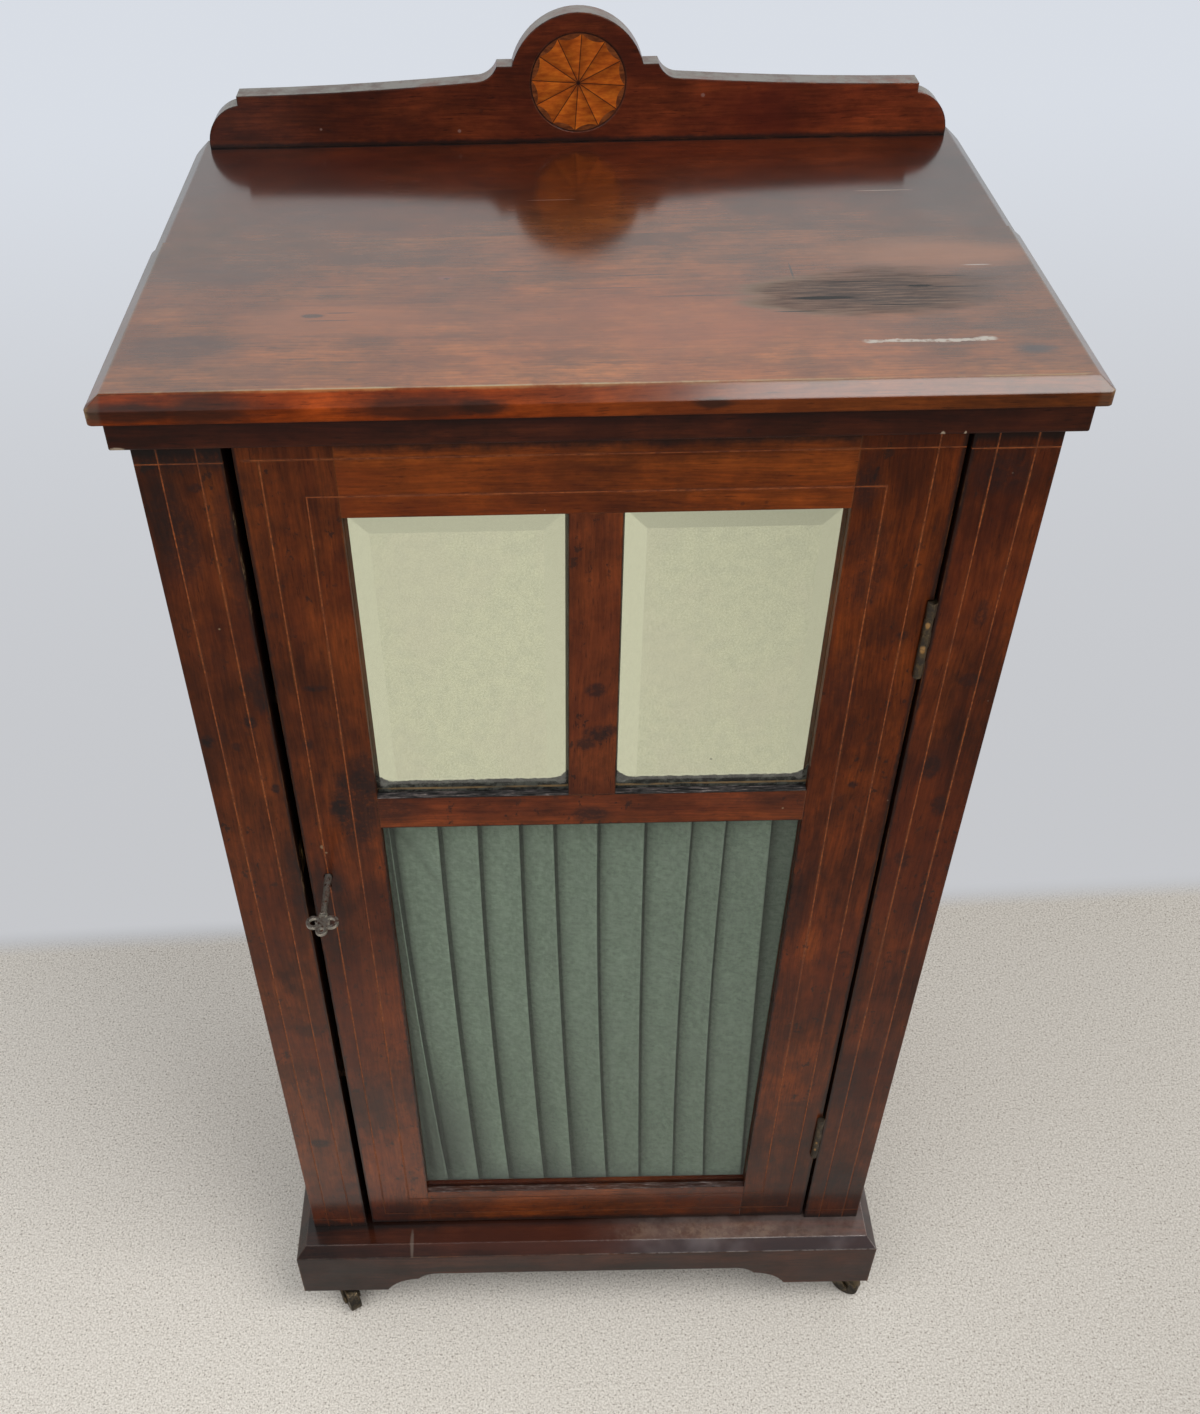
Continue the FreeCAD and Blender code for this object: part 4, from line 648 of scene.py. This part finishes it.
LINE = ((0.13, 0.028, 0.006), (0.22, 0.052, 0.01), (0.33, 0.085, 0.018))
dress(inlay("boxwood_case", LINE, 1.0), "stile_stringing")
dress(inlay("boxwood_door", LINE, 2.0), "door_stringing")
SATINWOOD = ((0.245, 0.046, 0.004), (0.355, 0.074, 0.006), (0.465, 0.115, 0.009))
dress(inlay("fan", SATINWOOD, 3.0, fan=True), "patera_fan")
STAINED = ((0.07, 0.018, 0.005), (0.13, 0.034, 0.009), (0.2, 0.055, 0.013))
dress(inlay("tips", STAINED, 4.0), "patera_tips")
RING = ((0.008, 0.003, 0.002), (0.018, 0.006, 0.003), (0.035, 0.01, 0.005))
dress(inlay("ring", RING, 5.0), "patera_ring")


# Metal, mirrors and glass

def metal(name, colour, tarnish, seed, rough=0.35, amount=0.6, scale=160.0, glints=()):
    """Metal under patches of tarnish. glints are bright places as x, y, z and radius in millimetres."""
    g = Graph(name)
    base = g.moved(seed, seed * 1.3, seed * 0.6)
    cloud = g.noise(base, scale, 6.0, 0.68)
    fine = g.noise(base, scale * 8, 3.0, 0.6)
    mask = g.fade(g.math("MULTIPLY_ADD", fine, 0.2, g.times(cloud, 0.8)), 0.4, 0.58)
    mask = g.times(mask, amount)
    tone = g.mix(mask, colour, tarnish)
    for x, y, z, radius in glints:
        glint = blot(g, Vector((x, y, z)) / 1000, (radius * 0.6, radius, radius), 0.4, 0.2, 300.0)
        tone = g.paint(glint, 0.8, tone, (0.42, 0.23, 0.08))
    soft, arris = edge_mask(g, 0.0005)
    tone = g.paint(arris, 0.4, tone, [min(1.0, c * 1.3) for c in colour])
    bump = g.add("Bump", {"Strength": 0.3, "Distance": 0.0001, "Height": fine, "Normal": soft})
    return g.finish("BsdfPrincipled", {
        "Base Color": tone, "Metallic": g.fade(mask, 0.0, 1.0, 1.0, 0.45),
        "Roughness": g.fade(mask, 0.0, 1.0, rough, rough + 0.3), "Normal": bump})


pin_low, pin_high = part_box("hinge_pins")
pin_x = (pin_low.x + pin_high.x) * 500
hinge_glints = [(pin_x - 0.8, pin_low.y * 1000, pin_high.z * 1000 - drop, radius)
                for drop, radius in ((16, 2.2), (35, 2.8), (605, 1.7), (594, 1.4))]
dull_brass = metal("dull_brass", (0.11, 0.08, 0.048), (0.016, 0.012, 0.01), 1.0, 0.36, 0.85,
                   glints=hinge_glints)
lock_brass = metal("lock_brass", (0.58, 0.4, 0.17), (0.16, 0.09, 0.04), 2.0, 0.3, 0.5)
nickel = metal("nickel", (0.42, 0.39, 0.34), (0.045, 0.038, 0.03), 3.0, 0.26, 0.75, 420.0)
steel = metal("screw_steel", (0.36, 0.33, 0.3), (0.08, 0.055, 0.04), 4.0, 0.4, 0.7)
castor = metal("castor_brass", (0.13, 0.096, 0.056), (0.014, 0.012, 0.01), 5.0, 0.38, 0.95, 110.0)
dress(dull_brass, "hinge_case_leaves", "hinge_door_leaves", "hinge_pins")
dress(lock_brass, "lock_case", "lock_bolt", "lock_keeper", "curtain_rods")
dress(steel, "case_screws", "door_screws")
dress(castor, *(node for node in nodes if node.startswith("castor")))
dress(nickel, "key")


MIRROR_BEVEL = 0.019
SILVER_CORNER = 0.011
LOST_SIDE, LOST_END, DARK_FOOT = 0.0044, 0.0052, 0.012


def mirror(node, seed):
    """Silvered glass, lost along the edges and in spots; a dark bottom strip holds a painted reflection
    of the rail.
    """
    g = Graph(node)
    low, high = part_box(node)
    middle = (low + high) / 2
    x, _, z = g.axes(g.vector("SUBTRACT", g.point, tuple(middle)))
    wide = (high.x - low.x) / 2
    tall = (high.z - low.z) / 2
    uneven = g.noise(g.stretch(g.point, (0.7, 1.0, 2.2), (seed, 0.0, seed)), 260.0, 5.0, 0.75)
    waver = g.times(g.minus(uneven, 0.5), 0.0052)
    out_x = g.larger(g.minus(g.absolute(x), wide - LOST_SIDE - SILVER_CORNER), 0.0)
    out_z = g.larger(g.minus(g.times(z, -1.0), tall - LOST_END - SILVER_CORNER - DARK_FOOT), 0.0)
    spread = g.math("SQRT", g.plus(g.times(out_x, out_x), g.times(out_z, out_z)))
    lost = g.fade(g.plus(spread, waver), SILVER_CORNER - 0.0004, SILVER_CORNER + 0.0006)
    dots = g.fade(g.cells(g.moved(seed, seed, seed), 46.0), 0.05, 0.03)
    dots = g.within(dots, g.noise(g.point, 30.0, 2.0), 0.6, 0.64)
    lost = g.larger(lost, g.times(dots, 0.8))
    haze = g.noise(g.point, 120.0, 5.0, 0.7)
    silver = g.mix(g.fade(haze, 0.35, 0.7), (0.71, 0.75, 0.57), (0.65, 0.69, 0.535))
    silver = g.tint(silver, g.noise(g.point, 900.0, 3.0, 0.7), 0.36, 0.64, 0.89, 1.09)
    cloud = g.noise(g.stretch(g.point, (1.0, 1.0, 0.6)), 14.0, 4.0, 0.6)
    silver = g.mix(g.fade(cloud, 0.45, 0.62, 0.0, 0.35), silver, (0.69, 0.69, 0.56))
    ground = g.larger(g.minus(g.absolute(x), wide - MIRROR_BEVEL),
                      g.minus(g.absolute(z), tall - MIRROR_BEVEL))
    silver = g.mix(g.fade(ground, -0.0003, 0.0003), silver, (0.725, 0.765, 0.595))
    glass = g.add("BsdfPrincipled", {"Base Color": silver, "Metallic": 1.0, "Roughness": 0.035})
    behind = g.mix(g.fade(haze, 0.4, 0.62), (0.016, 0.017, 0.014), (0.085, 0.09, 0.075))
    above = g.plus(z, tall)
    # Painted reflection of the rail below: a gold-brown line in the dark strip at the bottom
    rail_reflection = g.fade(g.absolute(g.minus(above, 0.0085)), 0.0006, 0.0014, 1.0, 0.0)
    rail_reflection = g.within(rail_reflection, g.noise(g.stretch(g.point, (0.2, 1.0, 1.0)), 120.0, 3.0), 0.4, 0.55)
    behind = g.mix(rail_reflection, behind, (0.26, 0.17, 0.08))
    bare = g.add("BsdfPrincipled", {"Base Color": behind, "Roughness": 0.25, "Coat Weight": 1.0,
                                    "Coat Roughness": 0.02})
    return g.finish("MixShader", {0: lost, 1: glass, 2: bare})


dress(mirror("mirror_left", 1.0), "mirror_left")
dress(mirror("mirror_right", 4.0), "mirror_right")


def pane():
    """Clear glass with a little dust on it."""
    g = Graph("clear_glass")
    dust = g.fade(g.noise(g.point, 700.0, 3.0, 0.7), 0.66, 0.8, 0.0, 0.05)
    film = g.fade(g.noise(g.point, 9.0, 4.0), 0.3, 0.8, 0.002, 0.014)
    clear = g.add("BsdfTransparent", {"Color": (0.93, 0.955, 0.94)})
    shine = g.add("BsdfGlossy", {"Color": (1.0, 1.0, 1.0), "Roughness": 0.03})
    outer = g.minus(1.0, g.add("NewGeometry").outputs["Backfacing"])
    fresnel = g.times(g.add("Fresnel", {"IOR": 1.45}), g.times(outer, 0.5))
    faced = g.add("MixShader", {0: fresnel, 1: clear, 2: shine})
    dirt = g.add("BsdfDiffuse", {"Color": (0.45, 0.45, 0.42)})
    return g.finish("MixShader", {0: g.plus(dust, film), 1: faced, 2: dirt})


dress(pane(), "door_glass")


# The curtain: one pleated sheet, turned round both rods and hemmed at the back

# Each fold's front edge in millimetres across, at the curtain's head, halfway down and at its foot
FOLDS = ((-141, -136, -126), (-107, -105, -98), (-79, -78, -70), (-50, -47, -38), (-26, -21, -12),
         (5, 9, 19), (38, 42, 49), (71, 73, 80), (95, 98, 108), (127, 134, 143))
FOLD_HEAD = 640
FOLD_FOOT = 168
OVERLAP = 7.5
COLUMNS_PER_SPAN = 5
# Millimetres from the curtain's ends to the rods' middles, and half of the cloth's own thickness
CASING = 3.0
CLOTH = 0.25
ARC_STEPS = 8
HEM = (2, 5, 9, 13)


def wave(*at):
    """Smooth noise between -1 and 1."""
    return noise.noise(Vector(at))


def fold_edge(fold, z):
    """Where a fold's front edge lies at height z, on a curve through its three places."""
    head, halfway, foot = fold
    t = max(0.0, min(1.0, (FOLD_HEAD - z) / (FOLD_HEAD - FOLD_FOOT)))
    return head * (1 - t) * (1 - 2 * t) + 4 * halfway * t * (1 - t) + foot * t * (2 * t - 1)


def section(z, left, right):
    """(x, depth, shade) across the cloth at height z. Depth runs from about -1 at the front to 8."""
    points = [(left, 4.5, 0.7), (left + 1.5, 4.2, 0.5)]
    previous = left
    for number, fold in enumerate(FOLDS):
        x = fold_edge(fold, z)
        rise = wave(number * 7.3, z * 0.006, 1.0)
        front = -0.6 + 0.8 * rise
        width = x - previous
        narrow = min(1.0, width / 25)
        low = max(0.0, min(1.0, (430 - z) / 230)) * (1.0 if number < 6 else 0.25)
        over = (OVERLAP + 1.5 * wave(number * 3.1, z * 0.004, 5.0)) * narrow
        dim = 0.8 + 0.25 * wave(number * 5.7, z * 0.009, 3.0)
        points += [
            (previous + 1.3 * narrow, 6.6 + low, 0.95),
            (previous + (2.8 + 1.7 * low) * narrow, 6.2 + 0.9 * low, dim * (0.48 + 0.3 * low)),
            (previous + (5.2 + 3.2 * low) * narrow, 5.5 + 0.9 * low, dim * (0.2 + 0.4 * low)),
            (previous + (9.0 + 4.0 * low) * narrow, 4.4 + 0.8 * low, 0.08 + 0.28 * low),
            (previous + width * 0.64, 2.8 + 0.5 * low, 0.02 + 0.12 * low),
            (previous + width * 0.82, 1.2 + front * 0.5, 0.0),
            (x - 1.6 * narrow, front + 0.1, 0.0),
            (x - 0.2, front + 0.65, 0.1),
            (x - 0.9 * narrow, front + 1.6, 0.8),
            (x - over * 0.6, front + 2.6, 1.0),
            (x - over + 0.9 * narrow, 4.2 + front * 0.4, 1.0),
            (x - over, 5.2 + front * 0.2, 1.0),
            (x - over + 1.1 * narrow, 6.4 + 0.3 * low, 1.0)]
        previous = x
    return points + [(previous + 1.5, 7.0, 0.75), (previous + (right - previous) * 0.5, 6.4, 0.22),
                     (right, 4.5, 0.35)]


def smooth_line(points, count):
    """A smooth curve through the points, with count steps from each to the next."""
    line = []
    ends = [points[0]] + points + [points[-1]]
    for i in range(1, len(ends) - 2):
        a, b, c, d = ends[i - 1:i + 3]
        for step in range(count):
            t = step / count
            line.append(tuple(0.5 * (2 * b[k] + (c[k] - a[k]) * t
                                     + (2 * a[k] - 5 * b[k] + 4 * c[k] - d[k]) * t ** 2
                                     + (3 * b[k] - a[k] - 3 * c[k] + d[k]) * t ** 3) for k in (0, 1, 2)))
    line.append(points[-1])
    return line


def cloth_path(low, high):
    """The way from hem to hem round both rods: height, place behind the front, outward direction, share
    of the folds' depth, and the height whose folds are used."""
    rod_low = low.z + CASING
    rod_high = high.z - CASING
    depth = high.y - low.y
    middle = depth / 2
    reach = middle - CLOTH

    def arc(rod, side, first, last):
        for step in range(ARC_STEPS + 1):
            t = step / ARC_STEPS
            sine = side * math.sin(math.pi * t)
            cosine = side * math.cos(math.pi * t)
            path.append((rod + reach * sine, middle - reach * cosine, (-sine, cosine),
                         first + (last - first) * t, rod))

    path = [(rod_low + up, depth - CLOTH, (0.0, -1.0), 0.14, rod_low + up) for up in reversed(HEM)]
    arc(rod_low, -1, 0.14, 0.17)
    z = rod_low + 1.5
    while z < rod_high - 1:
        nearest = min(z - rod_low, rod_high - z)
        t = max(0.0, min(1.0, nearest / (16.0 if z > 400 else 22.0)))
        path.append((z, CLOTH * (1 - t) + 0.1 * t, (0.0, 1.0), 0.17 + 0.83 * t * t * (3 - 2 * t), z))
        z += 1.5 + 3.0 * t
    arc(rod_high, 1, 0.17, 0.14)
    path += [(rod_high - down, depth - CLOTH, (0.0, -1.0), 0.14, rod_high - down) for down in HEM]
    return path


def small_folds(x, z):
    """(depth, shade) of the small waves and of the slanting crease at the upper left."""
    fine = 0.35 * wave(x * 0.03, z * 0.012, 2.0)
    fine += 0.16 * wave(x * 0.11, z * 0.05, 8.0)
    shade = 0.0
    if x < -100:
        away = abs((x + 136) * 0.885 - (632 - z) * 0.466) if 570 < z < 640 else 99.0
        fine -= 1.2 * math.exp(-(away / 3.5) ** 2)
        shade = 0.26 * math.exp(-(away / 4.0) ** 2)
    if x < -128:
        fine += 0.45 * math.sin(x * 0.62 + z * 0.012)
    return fine, shade


def make_curtain():
    """(cloth, its mean width, its mean length) in metres."""
    low = curtain_low * 1000
    high = curtain_high * 1000
    path = cloth_path(low, high)
    vertices = []
    shades = []
    for z, offset, (toward_z, toward_y), amount, at in path:
        line = smooth_line(section(at, low.x, high.x), COLUMNS_PER_SPAN)
        for x, depth, shade in line:
            fine, dim = small_folds(x, z)
            shades.append(max(0.0, min(0.9, shade + dim)))
            shifted = (depth + fine * min(1.0, amount * 1.2)) * amount
            shifted = max(0.05, shifted) if amount < 0.3 else shifted
            vertices.append((x / 1000, (low.y + offset + toward_y * shifted) / 1000,
                             (z + toward_z * shifted) / 1000))
    rows = len(path)
    columns = len(line)
    corners = [row * columns + column for row in range(rows - 1) for column in range(columns - 1)]
    faces = [(a, a + 1, a + columns + 1, a + columns) for a in corners]
    mesh = bpy.data.meshes.new("curtain_cloth")
    mesh.from_pydata(vertices, [], faces)
    mesh.update()
    for polygon in mesh.polygons:
        polygon.use_smooth = True
    mesh.attributes.new("fold", "FLOAT", "POINT").data.foreach_set("value", shades)
    cloth = new_object("curtain_cloth", mesh)

    def length(indices):
        pairs = zip(indices, indices[1:])
        return sum((Vector(vertices[a]) - Vector(vertices[b])).length for a, b in pairs)

    widths = [length([row * columns + c for c in range(columns)]) for row in range(30, rows - 30, 10)]
    lengths = [length([row * columns + c for row in range(rows)]) for c in range(0, columns, 20)]
    return cloth, sum(widths) / len(widths), sum(lengths) / len(lengths)


THREAD = 6283.0 / 0.9


def fabric():
    """Plain grey-green cloth with slubs, dull patches, painted shade between its folds and a painted
    shadow low down.
    """
    g = Graph("curtain_fabric")
    x, _, z = g.axes()
    weave = g.times(g.math("SINE", g.times(x, THREAD)), g.math("SINE", g.times(z, THREAD)))
    slub = g.noise(g.stretch(g.point, (1.0, 1.0, 0.12)), 900.0, 3.0, 0.6)
    cloud = g.noise(g.point, 14.0, 4.0, 0.6)
    colour = g.mix(g.fade(cloud, 0.3, 0.7), (0.205, 0.248, 0.192), (0.232, 0.278, 0.218))
    colour = g.mix(g.fade(slub, 0.35, 0.7, 0.0, 0.42), colour, (0.285, 0.338, 0.27))
    cross = g.noise(g.stretch(g.point, (0.12, 1.0, 1.0)), 800.0, 3.0, 0.6)
    colour = g.tint(colour, cross, 0.34, 0.66, 0.9, 1.06)
    colour = g.tint(colour, g.noise(g.point, 240.0, 5.0, 0.7), 0.34, 0.66, 0.85, 1.16)
    colour = g.tint(colour, x, -0.13, 0.13, 1.16, 0.95)
    grey = g.fade(g.noise(g.point, 60.0, 5.0, 0.65), 0.42, 0.68, 0.0, 0.22)
    colour = g.mix(grey, colour, (0.225, 0.245, 0.215))
    # Painted shadow over the lower left and the foot of the cloth
    painted_shadow = blot(g, place(-128, 205), (34, 70, 95), 0.6, 0.1, 12.0)
    painted_shadow = g.larger(painted_shadow, blot(g, place(-60, 160), (110, 70, 26), 0.7, 0.1, 12.0))
    colour = g.paint(painted_shadow, 0.42, colour, (0.11, 0.108, 0.104))
    shade = g.add("Attribute", attribute_name="fold").outputs["Fac"]
    colour = g.paint(shade, 0.78, colour, (0.01, 0.014, 0.011))
    fluff = g.fade(g.cells(g.point, 75.0), 0.03, 0.015)
    fluff = g.within(fluff, g.noise(g.point, 50.0, 2.0), 0.6, 0.64)
    colour = g.paint(fluff, 0.5, colour, (0.45, 0.46, 0.42))
    height = g.math("MULTIPLY_ADD", weave, 0.5, slub)
    bump = g.add("Bump", {"Strength": 0.35, "Distance": 0.0003, "Height": height})
    cloth = g.add("BsdfPrincipled", {"Base Color": colour, "Roughness": 0.85, "Specular IOR Level": 0.15,
                                     "Sheen Weight": 0.15, "Normal": bump})
    through = g.add("BsdfTranslucent", {"Color": colour, "Normal": bump})
    return g.finish("MixShader", {0: 0.12, 1: cloth, 2: through})


curtain, cloth_width, cloth_length = make_curtain()
curtain.data.materials.append(fabric())
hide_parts("curtain")
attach(curtain, "door")


# Floor, light and camera

def make_floor(size):
    """A speckled floor that changes to the wall's colour where the wall would start."""
    mesh = bpy.data.meshes.new("floor")
    corners = [(-size, -size, 0), (size, -size, 0), (size, size, 0), (-size, size, 0)]
    mesh.from_pydata(corners, [], [(0, 1, 2, 3)])
    floor = new_object("floor", mesh)
    g = Graph("floor")
    x, y, _ = g.axes()
    line = g.math("MULTIPLY_ADD", x, -0.04, y)
    far = g.fade(line, 0.29, 0.335)
    further = g.fade(line, 0.3, 3.2)
    fleck = g.noise(g.point, 520.0, 3.0, 0.75)
    warm = g.mix(g.fade(fleck, 0.38, 0.62), (0.62, 0.57, 0.505), (0.89, 0.845, 0.775))
    dark = g.fade(g.noise(g.point, 470.0, 2.0, 0.5), 0.6, 0.66)
    warm = g.paint(dark, 0.75, warm, (0.27, 0.225, 0.185))
    # Painted shade: the floor is darker towards the right, where the key lamp lights it more
    warm = g.tint(warm, x, -0.1, 0.7, 1.0, 0.8)
    cool = g.mix(further, (0.565, 0.575, 0.6), (0.69, 0.725, 0.785))
    seen = g.add("LightPath").outputs
    direct = g.times(g.larger(seen["Is Camera Ray"], seen["Is Glossy Ray"]), far)
    matt = g.add("BsdfDiffuse", {"Color": g.mix(far, warm, cool)})
    glow = g.add("Emission", {"Color": cool})
    mesh.materials.append(g.finish("MixShader", {0: direct, 1: matt, 2: glow}))


def make_light(name, location, size, power, colour, target):
    """A rectangular lamp in metres and watts that faces its target."""
    lamp = bpy.data.lights.new(name, "AREA")
    lamp.shape = "RECTANGLE"
    lamp.size, lamp.size_y = size
    lamp.energy = power
    lamp.color = colour
    holder = new_object(name, lamp)
    holder.location = location
    holder.rotation_euler = (Vector(target) - Vector(location)).to_track_quat("-Z", "Y").to_euler()


def make_world():
    """Even light. Polish and metal see a paler room behind the cabinet than in front of it."""
    world = bpy.data.worlds.new("world")
    bpy.context.scene.world = world
    g = Graph("world", world)
    backwards = g.axes(g.coordinates["Generated"])[1]
    room = g.add("MapRange", {0: backwards, 1: -0.6, 2: 0.3, 3: 0.36, 4: 0.82})
    lit = g.add("Background", {"Color": (0.96, 0.98, 1.0), "Strength": 0.5})
    mirrored = g.add("Background", {"Color": (0.96, 0.97, 0.97), "Strength": room})
    plain = g.add("Background", {"Color": (0.92, 0.96, 1.0), "Strength": 0.78})
    seen = g.add("LightPath").outputs
    shown = g.add("MixShader", {0: seen["Is Glossy Ray"], 1: lit, 2: mirrored})
    shown = g.add("MixShader", {0: seen["Is Camera Ray"], 1: shown, 2: plain})
    g.add("OutputWorld", {"Surface": shown})


def make_camera(place_in_metres, pitch, yaw, roll, lens, shift):
    """The photo's camera, as solved from the cabinet's edges in it. Angles in radians."""
    level = math.cos(pitch)
    forward = Vector((math.sin(yaw) * level, math.cos(yaw) * level, -math.sin(pitch)))
    right = Vector((math.cos(yaw), -math.sin(yaw), 0.0))
    down = forward.cross(right)
    across = math.cos(roll) * right + math.sin(roll) * down
    under = -math.sin(roll) * right + math.cos(roll) * down
    data = bpy.data.cameras.new("camera")
    data.sensor_width = 36.0
    data.lens = lens
    data.shift_x = shift
    camera = new_object("camera", data)
    turned = Matrix((across, -under, -forward)).transposed().to_4x4()
    camera.matrix_world = Matrix.Translation(place_in_metres) @ turned
    bpy.context.scene.camera = camera


make_floor(size=14.0)
make_world()
make_light("key", location=(1.3, -0.9, 3.0), size=(1.9, 1.5), power=46.0, colour=(1.0, 0.985, 0.96),
           target=(0.2, -0.1, 0.6))
make_light("fill", location=(-1.2, -1.6, 2.6), size=(2.4, 2.0), power=26.0, colour=(0.97, 0.985, 1.0),
           target=(0.0, -0.2, 0.5))
make_camera((-0.035, -0.8206, 1.3644), pitch=0.73194, yaw=-0.00304, roll=0.02133,
            lens=36.264, shift=0.046)
bpy.context.scene.view_settings.view_transform = "Standard"
